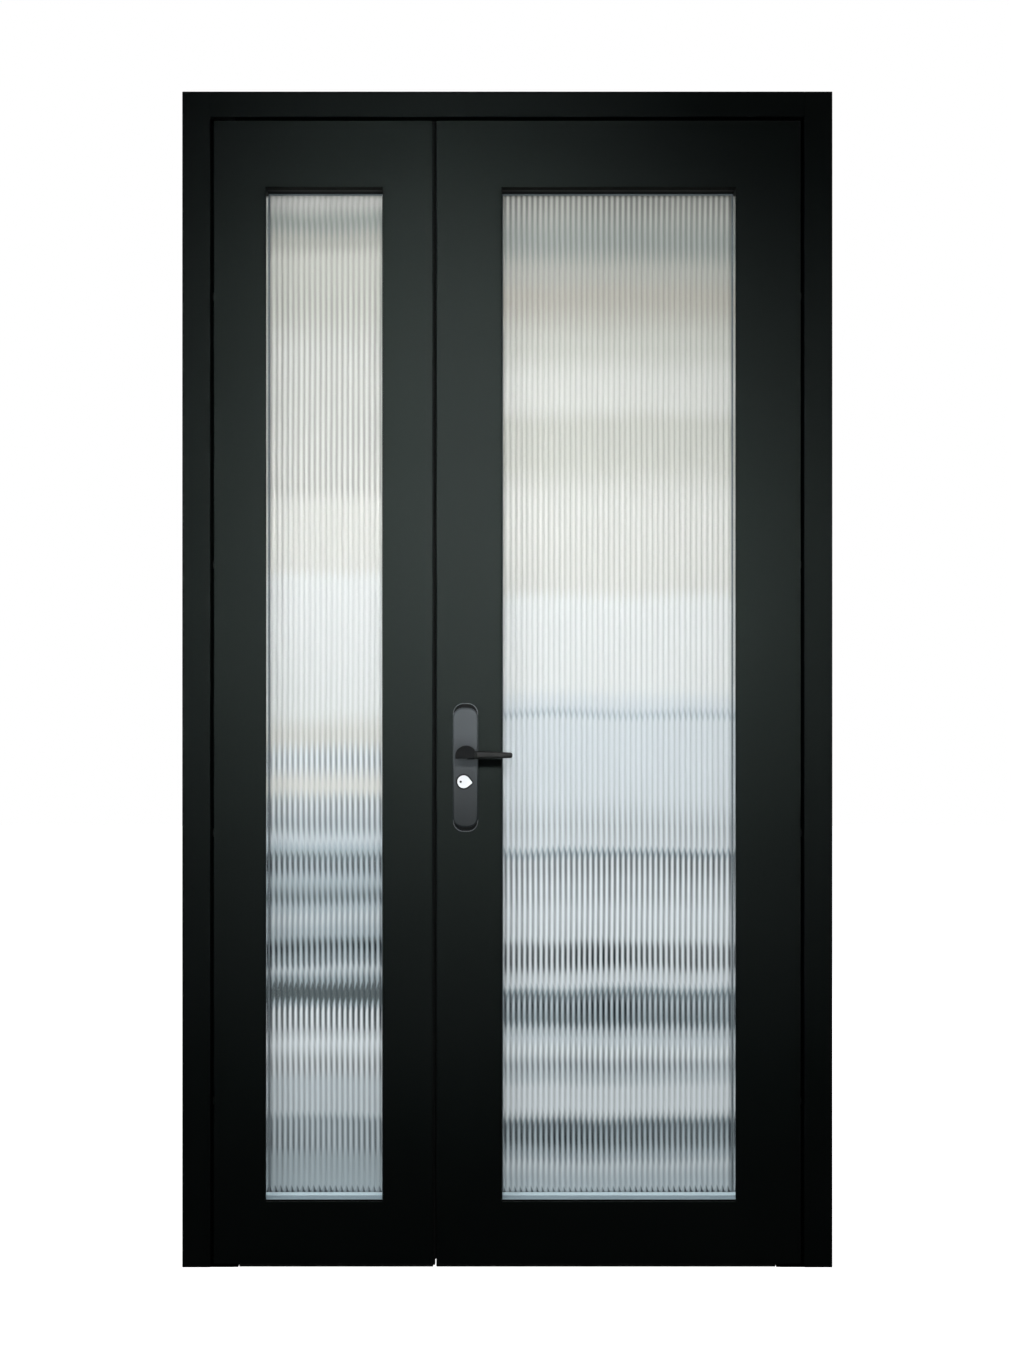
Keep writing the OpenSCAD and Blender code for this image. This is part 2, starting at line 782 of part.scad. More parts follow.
module left_floor_pivot() color("#6b6e70") floor_pivot_left();

module right_floor_pivot() color("#6b6e70") mirror([1, 0, 0]) floor_pivot_left();

module bolt_keep() color("#9a9c9e") difference() {
  box(
    [rod_x - keep_l / 2, lock_y - keep_w / 2, head_z - keep_t],
    [rod_x + keep_l / 2, lock_y + keep_w / 2, head_z]
  );
  rod_along_z(rod_x, lock_y, rod_hole_r, head_z - keep_t - eps, head_z + eps);
}

module left_fixing_sleeves() color("#8d8f91") fixing_sleeves_left();

module right_fixing_sleeves() color("#8d8f91") mirror([1, 0, 0]) fixing_sleeves_left();

module inactive_front_skin() color("#1c1f1f") front_skin(INACTIVE) {
  union() {
    pivot_holes(inactive_pivot_x);
    edge_cut(inactive_x1 - skin_t - eps, inactive_x1 + eps, plate_z, edge_plate_h);
    guide_cut(upper_rod_z, 1);
    guide_cut(lower_rod_z, -1);
    rod_holes();
  }
}

module inactive_back_skin() color("#1c1f1f") back_skin(INACTIVE);

module inactive_hinge_stile() color("#2b2e2f") left_stile(INACTIVE) pivot_holes(inactive_pivot_x);

module inactive_lower_stile() color("#2b2e2f") meeting_tube(leaf_z0 + skin_t, strike_z0) {
  guide_cut(lower_rod_z, -1);
  rod_holes();
}

module inactive_strike_box() color("#3a3d3f") meeting_tube(strike_z0, strike_z1) strike_holes();

module inactive_upper_stile() color("#2b2e2f") meeting_tube(strike_z1, leaf_z1 - skin_t) {
  guide_cut(upper_rod_z, 1);
  rod_holes();
}

module inactive_top_rail() color("#2b2e2f") top_rail(INACTIVE);

module inactive_bottom_rail() color("#2b2e2f") bottom_rail(INACTIVE);

module inactive_glass() color("#c9d2d0", 0.6) glass(INACTIVE);

module inactive_gaskets() color("#0d0d0d") gaskets(INACTIVE);

module inactive_side_beads() color("#1c1f1f") side_beads(INACTIVE);

module inactive_cross_beads() color("#1c1f1f") cross_beads(INACTIVE);

module inactive_floor_seal() color("#101010") floor_seal(inactive_x0 + floor_seal_in, inactive_x1);

module inactive_pivot_blocks() color("#77797b") pivot_blocks(inactive_pivot_x, inactive_x0 + edge_t);

module meeting_seal() color("#101010")
  box(
    [inactive_x1, front_y + meet_seal_back, meet_seal_low],
    [active_x0 - meet_seal_gap, front_y + meet_seal_back + meet_seal_d, leaf_z1]
  );

module strike_plate() color("#9a9c9e") difference() {
  box(
    [inactive_x1 - skin_t, lock_y - edge_plate_w / 2, plate_z - edge_plate_h / 2],
    [inactive_x1, lock_y + edge_plate_w / 2, plate_z + edge_plate_h / 2]
  );
  strike_holes();
}

module upper_bolt_guide() color("#9a9c9e") bolt_guide(upper_rod_z, 1);

module lower_bolt_guide() color("#9a9c9e") bolt_guide(lower_rod_z, -1);

module upper_bolt_rod() color("#b4b6b8") bolt_rod(upper_rod_z, 1);

module lower_bolt_rod() color("#b4b6b8") bolt_rod(lower_rod_z, -1);

module active_front_skin() color("#1c1f1f") front_skin(ACTIVE) {
  union() {
    meeting_step(0);
    pivot_holes(active_pivot_x);
    lock_cut();
    lock_holes();
  }
  meeting_step(skin_t);
}

module active_back_skin() color("#1c1f1f") back_skin(ACTIVE) {
  meeting_step(0);
  lock_holes();
}

module active_lock_stile() color("#2b2e2f") left_stile(ACTIVE) {
  union() {
    meeting_step(skin_t);
    lock_cut();
    lock_holes();
  }
  meeting_step(edge_t);
}

module active_hinge_stile() color("#2b2e2f") right_stile(ACTIVE) pivot_holes(active_pivot_x);

module active_top_rail() color("#2b2e2f") top_rail(ACTIVE);

module active_bottom_rail() color("#2b2e2f") bottom_rail(ACTIVE);

module active_glass() color("#c9d2d0", 0.6) glass(ACTIVE);

module active_gaskets() color("#0d0d0d") gaskets(ACTIVE);

module active_side_beads() color("#1c1f1f") side_beads(ACTIVE);

module active_cross_beads() color("#1c1f1f") cross_beads(ACTIVE);

module active_floor_seal() color("#101010") floor_seal(active_x0, active_x1 - floor_seal_in);

module active_pivot_blocks() color("#77797b") pivot_blocks(active_pivot_x, active_x1 - edge_t);

module lock_case() color("#9a9c9e") {
  case_x = lock_face_x + edge_t;
  difference() {
    union() {
      box(
        [lock_face_x, lock_y - edge_plate_w / 2, plate_z - edge_plate_h / 2],
        [case_x, lock_y + edge_plate_w / 2, plate_z + edge_plate_h / 2]
      );
      box(
        [case_x - eps, lock_y - case_t / 2, case_z0],
        [case_x + case_d, lock_y + case_t / 2, case_z0 + case_h]
      );
    }
    box(
      [case_x, lock_y - case_t / 2 + case_wall, case_z0 + case_wall],
      [case_x + case_d - case_wall, lock_y + case_t / 2 - case_wall, case_z0 + case_h - case_wall]
    );
    lock_bolt(handle_h, latch_h, let_in, lock_face_x - eps, case_x + eps);
    lock_bolt(key_z, dead_h, let_in, lock_face_x - eps, case_x + eps);
    lock_holes();
  }
}

module cylinder_housing() color("#a9abad") difference() {
  rod_along_y(lock_x, key_z, cylinder_r, -cylinder_out, cylinder_out);
  rod_along_y(lock_x, key_z, plug_r + run_clear, -cylinder_out - eps, cylinder_out + eps);
}

module outer_plate() color("#45484a") front_plate() {
  at_plate_screws() rod_along_y(0, 0, plate_screw_r + run_clear, front_y - rim_t, front_y + eps);
  rod_along_y(rivet_x, key_z, rivet_r + run_clear, front_y - plate_out - eps, front_y - rim_t);
}

module inner_plate() color("#45484a") mirror([0, 1, 0]) front_plate() at_plate_screws() {
  rod_along_y(0, 0, plate_screw_r + run_clear, front_y - plate_out - eps, front_y + eps);
  rod_along_y(0, 0, plate_screw_head_r + run_clear, front_y - plate_out - eps, front_y - rim_t);
}

module plate_screws() color("#55585a") at_plate_screws() {
  rod_along_y(0, 0, plate_screw_r, front_y - rim_t, back_y + rim_t + eps);
  rod_along_y(0, 0, plate_screw_head_r, back_y + rim_t, back_y + plate_out);
}

module cover_rivet() color("#b9bbbd") {
  head_y = -cover_y - cover_t - slip;
  rod_along_y(rivet_x, key_z, rivet_r, head_y - eps, front_y - rim_t);
  rod_along_y(rivet_x, key_z, rivet_head_r, head_y - rivet_head_t, head_y);
}

module outer_lever() color("#161718") front_lever();

module inner_lever() color("#161718") mirror([0, 1, 0]) front_lever();

module spindle() color("#8d8f91")
  box(
    [lock_x - spindle_s / 2, -lever_gap_y + run_clear, handle_h - spindle_s / 2],
    [lock_x + spindle_s / 2, lever_gap_y - run_clear, handle_h + spindle_s / 2]
  );

module latch_bolt() color("#b4b6b8") lock_bolt(handle_h, latch_h, 0, lock_face_x, lock_face_x + bolt_l);

module dead_bolt() color("#b4b6b8") lock_bolt(key_z, dead_h, 0, lock_face_x, lock_face_x + bolt_l);

module key_plug() color("#c8cacc") difference() {
  rod_along_y(lock_x, key_z, plug_r, -cylinder_out, 0);
  box(
    [lock_x - key_w / 2, -cylinder_out - eps, key_z - key_h / 2],
    [lock_x + key_w / 2, -leaf_t / 2, key_z + key_h / 2]
  );
}

module thumb_turn() color("#45484a") {
  rod_along_y(lock_x, key_z, plug_r, 0, cover_y + eps);
  rod_along_y(lock_x, key_z, turn_r, cover_y, cover_y + rim_t);
  box(
    [lock_x - turn_w / 2, cover_y, key_z - turn_r],
    [lock_x + turn_w / 2, leaf_t / 2 + plate_out + turn_out, key_z + turn_r]
  );
}

module key_cover() color("#d4d6d8") difference() {
  translate([lock_x, -cover_y, key_z]) rotate([90, 0, 0]) linear_extrude(height = cover_t) {
    translate([-cover_past, 0]) circle(r = cover_r);
    translate([cover_reach, 0]) circle(r = cover_tip_r);
  }
  rod_along_y(rivet_x, key_z, rivet_r + run_clear, -cover_y - cover_t - eps, -cover_y + eps);
}

left_jamb();
right_jamb();
head();
left_jamb_seal();
right_jamb_seal();
head_seal();
left_top_pivot();
right_top_pivot();
left_floor_pivot();
right_floor_pivot();
bolt_keep();
left_fixing_sleeves();
right_fixing_sleeves();
inactive_front_skin();
inactive_back_skin();
inactive_hinge_stile();
inactive_lower_stile();
inactive_strike_box();
inactive_upper_stile();
inactive_top_rail();
inactive_bottom_rail();
inactive_glass();
inactive_gaskets();
inactive_side_beads();
inactive_cross_beads();
inactive_floor_seal();
inactive_pivot_blocks();
meeting_seal();
strike_plate();
upper_bolt_guide();
lower_bolt_guide();
upper_bolt_rod();
lower_bolt_rod();
active_front_skin();
active_back_skin();
active_lock_stile();
active_hinge_stile();
active_top_rail();
active_bottom_rail();
active_glass();
active_gaskets();
active_side_beads();
active_cross_beads();
active_floor_seal();
active_pivot_blocks();
lock_case();
cylinder_housing();
outer_plate();
inner_plate();
plate_screws();
cover_rivet();
outer_lever();
inner_lever();
spindle();
latch_bolt();
dead_bolt();
key_plug();
thumb_turn();
key_cover();
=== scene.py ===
"""Looks of an unequal double door: black steel leaves with reeded glass in a steel frame.

Lengths are in metres. X runs to the right, Y away from the viewer and Z up. The origin is on the floor,
midway between the jambs and in the middle of the leaves' thickness.
"""

import logging
import math
from contextlib import contextmanager
from dataclasses import dataclass
from enum import Enum
from functools import cache
from typing import Any, Callable, Iterator, Sequence

import bmesh
import bpy
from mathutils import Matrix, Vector


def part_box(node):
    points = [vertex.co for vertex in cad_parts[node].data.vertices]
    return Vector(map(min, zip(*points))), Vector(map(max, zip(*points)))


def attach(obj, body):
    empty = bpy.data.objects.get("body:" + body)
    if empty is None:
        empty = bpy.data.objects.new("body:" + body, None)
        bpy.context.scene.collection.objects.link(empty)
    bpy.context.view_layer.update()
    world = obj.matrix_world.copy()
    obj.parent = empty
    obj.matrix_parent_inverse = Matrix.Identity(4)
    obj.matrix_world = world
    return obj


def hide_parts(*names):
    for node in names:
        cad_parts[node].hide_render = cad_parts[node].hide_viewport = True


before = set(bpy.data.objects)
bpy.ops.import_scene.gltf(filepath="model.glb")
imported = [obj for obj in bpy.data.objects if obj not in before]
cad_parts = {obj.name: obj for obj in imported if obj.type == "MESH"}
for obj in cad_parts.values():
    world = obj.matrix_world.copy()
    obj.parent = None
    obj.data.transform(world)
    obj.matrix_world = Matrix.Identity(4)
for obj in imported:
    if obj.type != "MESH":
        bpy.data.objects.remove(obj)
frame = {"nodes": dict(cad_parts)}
LOG = logging.getLogger("door")
Point = tuple[float, float, float]
Shade = tuple[float, float, float, float]
Test = Callable[[Any], bool]

FRONT = -0.035  # front faces of the leaves and the frame
BACK = 0.035  # back faces of the leaves
SHEET = 0.0012  # thickness of the leaves' sheet
SEAT = 0.004  # depth at which the folded reveal ends and the glazing starts
LEAF_LOW = 0.006  # bottom of the leaves
LEAF_HIGH = 2.116  # top of the leaves
NARROW_EDGE = -0.137  # meeting edge of the narrow leaf
LOCK_EDGE = -0.128  # meeting edge of the wide leaf, behind its step
LOCK_X = -0.077  # axis of the handle and the key
LOCK_Y = 0.0125  # middle depth of the lock and the bolts
BOLT_X = -0.155  # axis of the flush bolts
BOLT_HOLE = 0.007  # radius of the holes for the flush bolts
HANDLE_Z = 0.950  # height of the levers' axis
KEY_Z = 0.895  # height of the key's axis
PLATE_Z = 0.9225  # middle height of the handle plates and the lock
PLATE_SCREW = 0.095  # how far the plate screws are from that height
LOCK_SCREW = 0.100  # how far the screws of the lock and the strike plate are from it
REED = 0.01024  # from one reed of the glass to the next
NARROW_REED = -0.46222  # where the reeds of the narrow pane start
WIDE_REED = -0.02396  # where the reeds of the wide pane start
NEAR = 0.0001  # how close counts as being at a place
SQUARE = 0.99  # how nearly along an axis counts as along it


class Axis(Enum):
    """The three directions of the part's frame."""

    X = 0
    Y = 1
    Z = 2

    def unit(self, length: float = 1.0) -> Vector:
        """Gives a vector of a length along this axis."""
        return Vector([length if self.value == i else 0.0 for i in range(3)])


class Pick(Enum):
    """What is selected in edit mode."""

    VERT = "VERT"
    EDGE = "EDGE"
    FACE = "FACE"


class Slot(Enum):
    """The record's material slots."""

    FRAME = "frame_paint"
    LEAF = "leaf_paint"
    RUBBER = "black_rubber"
    GLASS = "reeded_glass"
    STEEL = "bare_steel"
    PLATE = "plate_charcoal"
    LEVER = "lever_black"
    CHROME = "cover_chrome"


def tone(code: str) -> Shade:
    """Turns a hex colour into the linear colour that a shader takes.

    Args:
        code: Six hex digits.

    Returns:
        Red, green, blue and alpha.
    """
    parts = [int(code[i : i + 2], 16) / 255 for i in (0, 2, 4)]
    line = [p / 12.92 if p <= 0.04045 else ((p + 0.055) / 1.055) ** 2.4 for p in parts]
    return (line[0], line[1], line[2], 1.0)


@dataclass(frozen=True)
class Hole:
    """A round hole through a piece."""

    axis: Axis
    middle: Point
    radius: float
    length: float = 0.03


class Bench:
    """Blender's modelling operators, used on one piece at a time."""

    @staticmethod
    def clear() -> None:
        """Leaves edit mode and deselects everything."""
        if bpy.context.mode != "OBJECT":
            bpy.ops.object.mode_set(mode="OBJECT")
        bpy.ops.object.select_all(action="DESELECT")

    @staticmethod
    def hold(piece: bpy.types.Object) -> None:
        """Selects one piece alone and makes it the active one.

        Args:
            piece: The piece.
        """
        Bench.clear()
        piece.select_set(True)
        bpy.context.view_layer.objects.active = piece

    @staticmethod
    def settle(name: str) -> bpy.types.Object:
        """Names the new primitive and puts its place and size into its mesh.

        Args:
            name: The piece's name.

        Returns:
            The piece, at the origin.
        """
        piece = bpy.context.object
        piece.name = name
        piece.data.name = name
        bpy.ops.object.transform_apply(location=True, rotation=True, scale=True)
        return piece

    @staticmethod
    def block(name: str, low: Point, high: Point) -> bpy.types.Object:
        """Adds a block between two corners.

        Args:
            name: The piece's name.
            low: The lowest corner.
            high: The highest corner.

        Returns:
            The block.
        """
        Bench.clear()
        size = Vector(high) - Vector(low)
        middle = (Vector(high) + Vector(low)) / 2
        bpy.ops.mesh.primitive_cube_add(size=1.0, location=middle, scale=size)
        return Bench.settle(name)

    @staticmethod
    def rod(name: str, hole: Hole, sides: int = 48) -> bpy.types.Object:
        """Adds a round rod where a hole or a pin is.

        Args:
            name: The piece's name.
            hole: The rod's axis, middle, radius and length.
            sides: How many flat sides make it round.

        Returns:
            The rod.
        """
        Bench.clear()
        turn = {Axis.X: (0.0, math.pi / 2, 0.0), Axis.Y: (math.pi / 2, 0.0, 0.0), Axis.Z: (0.0, 0.0, 0.0)}
        bpy.ops.mesh.primitive_cylinder_add(
            vertices=sides,
            radius=hole.radius,
            depth=hole.length,
            location=hole.middle,
            rotation=turn[hole.axis],
        )
        return Bench.settle(name)

    @staticmethod
    @contextmanager
    def editing(piece: bpy.types.Object) -> Iterator[None]:
        """Holds a piece in edit mode for the length of a with block.

        Args:
            piece: The piece.

        Yields:
            Nothing, once the piece is in edit mode.
        """
        Bench.hold(piece)
        bpy.ops.object.mode_set(mode="EDIT")
        try:
            yield
        finally:
            bpy.ops.object.mode_set(mode="OBJECT")

    @staticmethod
    def pick_all() -> None:
        """Selects all of the piece in edit mode."""
        bpy.ops.mesh.select_all(action="SELECT")

    @staticmethod
    def pick(piece: bpy.types.Object, kind: Pick, test: Test) -> int:
        """Selects the vertices, edges or faces that pass a test.

        Args:
            piece: The piece in edit mode.
            kind: What to select.
            test: Says whether one of them is selected.

        Returns:
            How many were selected.
        """
        bpy.ops.mesh.select_mode(type=kind.value)
        bpy.ops.mesh.select_all(action="DESELECT")
        mesh = bmesh.from_edit_mesh(piece.data)
        items = {Pick.VERT: mesh.verts, Pick.EDGE: mesh.edges, Pick.FACE: mesh.faces}[kind]
        chosen = [item for item in items if test(item)]
        for item in chosen:
            item.select_set(True)
        mesh.select_flush_mode()
        bmesh.update_edit_mesh(piece.data)
        return len(chosen)

    @staticmethod
    def extrude(move: Sequence[float]) -> None:
        """Extrudes the selected faces by a move."""
        bpy.ops.mesh.extrude_region_move(TRANSFORM_OT_translate={"value": tuple(move)})

    @staticmethod
    def round_edges(piece: bpy.types.Object, width: float, steps: int, test: Test) -> None:
        """Bevels the edges that pass a test.

        Args:
            piece: The piece in edit mode.
            width: The bevel's width.
            steps: How many faces make it round.
            test: Says whether an edge is bevelled.
        """
        if Bench.pick(piece, Pick.EDGE, test):
            bpy.ops.mesh.bevel(offset=width, segments=steps, profile=0.5, affect="EDGES", clamp_overlap=True)

    @staticmethod
    def score(piece: bpy.types.Object, axis: Axis, place: float, low: Point, high: Point) -> None:
        """Cuts the flat faces at one place along the four sides of a rectangle.

        Args:
            piece: The piece in edit mode.
            axis: The direction that the faces look along.
            place: Where the faces lie on that axis.
            low: The rectangle's lowest corner.
            high: The rectangle's highest corner.
        """
        for other in Axis:
            if other is axis:
                continue
            for side in (low[other.value], high[other.value]):
                Bench.pick(piece, Pick.FACE, flat_at(axis, place))
                bpy.ops.mesh.bisect(plane_co=other.unit(side), plane_no=other.unit())

    @staticmethod
    def modify(piece: bpy.types.Object, kind: str, **settings: Any) -> None:
        """Adds a modifier with its settings and applies it.

        Args:
            piece: The piece.
            kind: The modifier's type.
            settings: The modifier's settings.
        """
        Bench.hold(piece)
        modifier = piece.modifiers.new(kind.title(), kind)
        for key, value in settings.items():
            setattr(modifier, key, value)
        bpy.ops.object.modifier_apply(modifier=modifier.name)

    @staticmethod
    def combine(piece: bpy.types.Object, other: bpy.types.Object, operation: str) -> None:
        """Cuts a piece with another, or adds the other to it, and discards the other."""
        Bench.modify(piece, "BOOLEAN", operation=operation, object=other, solver="EXACT")
        bpy.data.objects.remove(other, do_unlink=True)

    @staticmethod
    def drill(piece: bpy.types.Object, holes: Sequence[Hole], sides: int = 40) -> None:
        """Drills round holes through a piece.

        Args:
            piece: The piece.
            holes: The holes.
            sides: How many flat sides make a hole round.
        """
        for hole in holes:
            Bench.combine(piece, Bench.rod("bit", hole, sides), "DIFFERENCE")

    @staticmethod
    def join(pieces: Sequence[bpy.types.Object], name: str) -> bpy.types.Object:
        """Makes one piece of several.

        Args:
            pieces: The pieces, of which the first is kept.
            name: The joined piece's name.

        Returns:
            The joined piece.
        """
        Bench.hold(pieces[0])
        for piece in pieces[1:]:
            piece.select_set(True)
        bpy.ops.object.join()
        pieces[0].name = name
        return pieces[0]

    @staticmethod
    def copy(piece: bpy.types.Object, name: str, move: Sequence[float]) -> bpy.types.Object:
        """Copies a piece with its own mesh and moves the copy.

        Args:
            piece: The piece to copy.
            name: The copy's name.
            move: How far the copy is moved.

        Returns:
            The copy.
        """
        twin = piece.copy()
        twin.data = piece.data.copy()
        twin.name = name
        bpy.context.collection.objects.link(twin)
        with Bench.editing(twin):
            Bench.pick_all()
            bpy.ops.transform.translate(value=tuple(move))
        return twin

    @staticmethod
    def mirror(piece: bpy.types.Object, name: str, axis: Axis) -> bpy.types.Object:
        """Copies a piece to the other side of the frame's middle.

        Args:
            piece: The piece to copy.
            name: The copy's name.
            axis: The axis that is turned round.

        Returns:
            The copy.
        """
        twin = Bench.copy(piece, name, (0.0, 0.0, 0.0))
        twin.scale[axis.value] = -1.0
        Bench.hold(twin)
        bpy.ops.object.transform_apply(location=True, rotation=True, scale=True)
        Bench.face_outwards(twin)
        return twin

    @staticmethod
    def face_outwards(piece: bpy.types.Object) -> None:
        """Merges doubled points and turns all faces outwards.

        Args:
            piece: The piece.
        """
        with Bench.editing(piece):
            Bench.pick_all()
            bpy.ops.mesh.remove_doubles(threshold=0.000005)
            bpy.ops.mesh.normals_make_consistent(inside=False)

    @staticmethod
    def smooth(piece: bpy.types.Object, degrees: float = 32.0, flat: bool = True) -> None:
        """Shades a piece smooth, except across edges sharper than an angle.

        Args:
            piece: The piece.
            degrees: The angle.
            flat: Whether large flat faces are kept flat beside their rounded edges.
        """
        Bench.hold(piece)
        bpy.ops.object.shade_smooth_by_angle(angle=math.radians(degrees))
        if flat:
            Bench.modify(piece, "WEIGHTED_NORMAL", keep_sharp=True, weight=100)

    @staticmethod
    def two_finishes(piece: bpy.types.Object, first: bpy.types.Material, second: bpy.types.Material) -> None:
        """Gives a piece in edit mode two finishes, with the second on its selected faces."""
        piece.data.materials.append(first)
        Bench.paint_picked(piece, second)

    @staticmethod
    def paint_picked(piece: bpy.types.Object, finish: bpy.types.Material) -> None:
        """Gives the selected faces of a piece in edit mode a finish of their own.

        Args:
            piece: The piece.
            finish: The finish.
        """
        piece.data.materials.append(finish)
        piece.active_material_index = len(piece.data.materials) - 1
        bpy.ops.object.material_slot_assign()

    @staticmethod
    def ring(name: str, low: Point, high: Point, gap_low: Point, gap_high: Point) -> bpy.types.Object:
        """Makes a flat four-sided ring around an opening that runs along Y.

        Args:
            name: The piece's name.
            low: The ring's lowest corner.
            high: The ring's highest corner.
            gap_low: The opening's lowest corner.
            gap_high: The opening's highest corner.

        Returns:
            The ring.
        """
        piece = Bench.block(name, low, high)
        with Bench.editing(piece):
            for place in (low[1], high[1]):
                Bench.score(piece, Axis.Y, place, gap_low, gap_high)
            Bench.pick(
                piece,
                Pick.FACE,
                lambda f: abs(f.normal.y) > SQUARE and within(f, Axis.Y, gap_low, gap_high),
            )
            bpy.ops.mesh.bridge_edge_loops()
        return piece


def flat_at(axis: Axis, place: float) -> Test:
    """Gives a test for faces that lie flat at one place on an axis.

    Args:
        axis: The axis that the faces look along.
        place: The place on that axis.

    Returns:
        The test.
    """
    i = axis.value
    return lambda f: abs(f.normal[i]) > SQUARE and abs(f.calc_center_median()[i] - place) < NEAR / 2


def facing(axis: Axis, sign: int) -> Test:
    """Gives a test for faces that look along an axis, one way or the other."""
    return lambda f: f.normal[axis.value] * sign > SQUARE


def within(face: bmesh.types.BMFace, axis: Axis, low: Point, high: Point) -> bool:
    """Says whether a face's middle lies in a rectangle, seen along an axis.

    Args:
        face: The face.
        axis: The axis to look along.
        low: The rectangle's lowest corner.
        high: The rectangle's highest corner.

    Returns:
        Whether it lies inside.
    """
    middle = face.calc_center_median()
    return all(low[i] < middle[i] < high[i] for i in range(3) if i != axis.value)


def in_hole(face: bmesh.types.BMFace, hole: Hole) -> bool:
    """Says whether a face lies inside a hole that runs along Y."""
    spots = [v.co - Vector(hole.middle) for v in face.verts]
    return all(math.hypot(s.x, s.z) < hole.radius * 1.01 and abs(s.y) < hole.length * 0.51 for s in spots)


def sharp(edge: bmesh.types.BMEdge, angle: float = 0.6) -> bool:
    """Says whether two faces meet at an edge at more than an angle, in radians."""
    return len(edge.link_faces) == 2 and edge.calc_face_angle() > angle


def runs_along(edge: bmesh.types.BMEdge, axis: Axis) -> bool:
    """Says whether an edge runs along an axis."""
    way = edge.verts[1].co - edge.verts[0].co
    return abs(way[axis.value]) > SQUARE * way.length


def lies_at(edge: bmesh.types.BMEdge, axis: Axis, place: float) -> bool:
    """Says whether both ends of an edge lie at one place on an axis."""
    return all(abs(v.co[axis.value] - place) < NEAR for v in edge.verts)


def lower_end(edge: bmesh.types.BMEdge, axis: Axis) -> float:
    """Gives the lower of an edge's two ends on an axis."""
    return min(v.co[axis.value] for v in edge.verts)


def upper_end(edge: bmesh.types.BMEdge, axis: Axis) -> float:
    """Gives the higher of an edge's two ends on an axis."""
    return max(v.co[axis.value] for v in edge.verts)


def on_rim(edge: bmesh.types.BMEdge, low: Point, high: Point) -> bool:
    """Says whether an edge lies on the rim of an opening that runs along Y.

    Args:
        edge: The edge.
        low: The opening's lowest corner.
        high: The opening's highest corner.

    Returns:
        Whether it lies there.
    """
    if runs_along(edge, Axis.Y):
        return False
    return all(low[i] - NEAR < v.co[i] < high[i] + NEAR for v in edge.verts for i in (0, 2))


class Sheet:
    """The nodes of one material or node group, with short calls to add and join them."""

    def __init__(self, tree: bpy.types.NodeTree) -> None:
        """Takes the node tree to draw on."""
        self.tree = tree

    def node(self, kind: str, **settings: Any) -> bpy.types.Node:
        """Adds a node and sets its properties.

        Args:
            kind: The node's type without its prefix.
            settings: The properties to set.

        Returns:
            The node.
        """
        made = self.tree.nodes.new(f"ShaderNode{kind}")
        for key, value in settings.items():
            setattr(made, key, value)
        return made

    def put(self, socket: bpy.types.NodeSocket, value: Any) -> None:
        """Gives a socket a number, a colour or another node's output.

        Args:
            socket: The socket.
            value: What it is given.
        """
        if isinstance(value, bpy.types.NodeSocket):
            self.tree.links.new(value, socket)
        else:
            socket.default_value = value

    def place(self) -> bpy.types.NodeSocket:
        """Gives the place on the piece, in the part's own frame."""
        return self.node("TexCoord").outputs["Object"]

    def parts(self, vector: bpy.types.NodeSocket) -> list[bpy.types.NodeSocket]:
        """Splits a vector.

        Args:
            vector: The vector.

        Returns:
            Its X, Y and Z.
        """
        made = self.node("SeparateXYZ")
        self.put(made.inputs[0], vector)
        return list(made.outputs)

    def math(self, operation: str, *values: Any) -> bpy.types.NodeSocket:
        """Adds a sum of one, two or three values.

        Args:
            operation: The kind of sum.
            values: Numbers or other nodes' outputs.

        Returns:
            The result.
        """
        made = self.node("Math", operation=operation)
        for socket, value in zip(made.inputs, values):
            self.put(socket, value)
        return made.outputs[0]

    def mix(self, amount: Any, first: Any, second: Any) -> bpy.types.NodeSocket:
        """Mixes two colours.

        Args:
            amount: How much of the second colour there is.
            first: The first colour.
            second: The second colour.

        Returns:
            The mixed colour.
        """
        made = self.node("Mix", data_type="RGBA")
        self.put(made.inputs["Factor"], amount)
        self.put(made.inputs[6], first)
        self.put(made.inputs[7], second)
        return made.outputs[2]

    def noise(self, vector: Any, scale: Any, detail: float = 2.0, rough: float = 0.5) -> bpy.types.NodeSocket:
        """Adds a noise pattern.

        Args:
            vector: Where on the piece it is read.
            scale: How fine it is.
            detail: How many finer layers it has.
            rough: How strong the finer layers are.

        Returns:
            The pattern, about 0.5 in the middle.
        """
        made = self.node("TexNoise")
        for name, value in (("Vector", vector), ("Scale", scale), ("Detail", detail), ("Roughness", rough)):
            self.put(made.inputs[name], value)
        return made.outputs["Factor"] if "Factor" in made.outputs else made.outputs["Fac"]

    def spread(self, value: Any, low: float, high: float, start: float, end: float) -> bpy.types.NodeSocket:
        """Maps a value from one range to another and keeps it there.

        Args:
            value: The value to map.
            low: Where the first range starts.
            high: Where the first range ends.
            start: Where the second range starts.
            end: Where the second range ends.

        Returns:
            The mapped value.
        """
        made = self.node("MapRange")
        for i, item in enumerate((value, low, high, start, end)):
            self.put(made.inputs[i], item)
        return made.outputs[0]


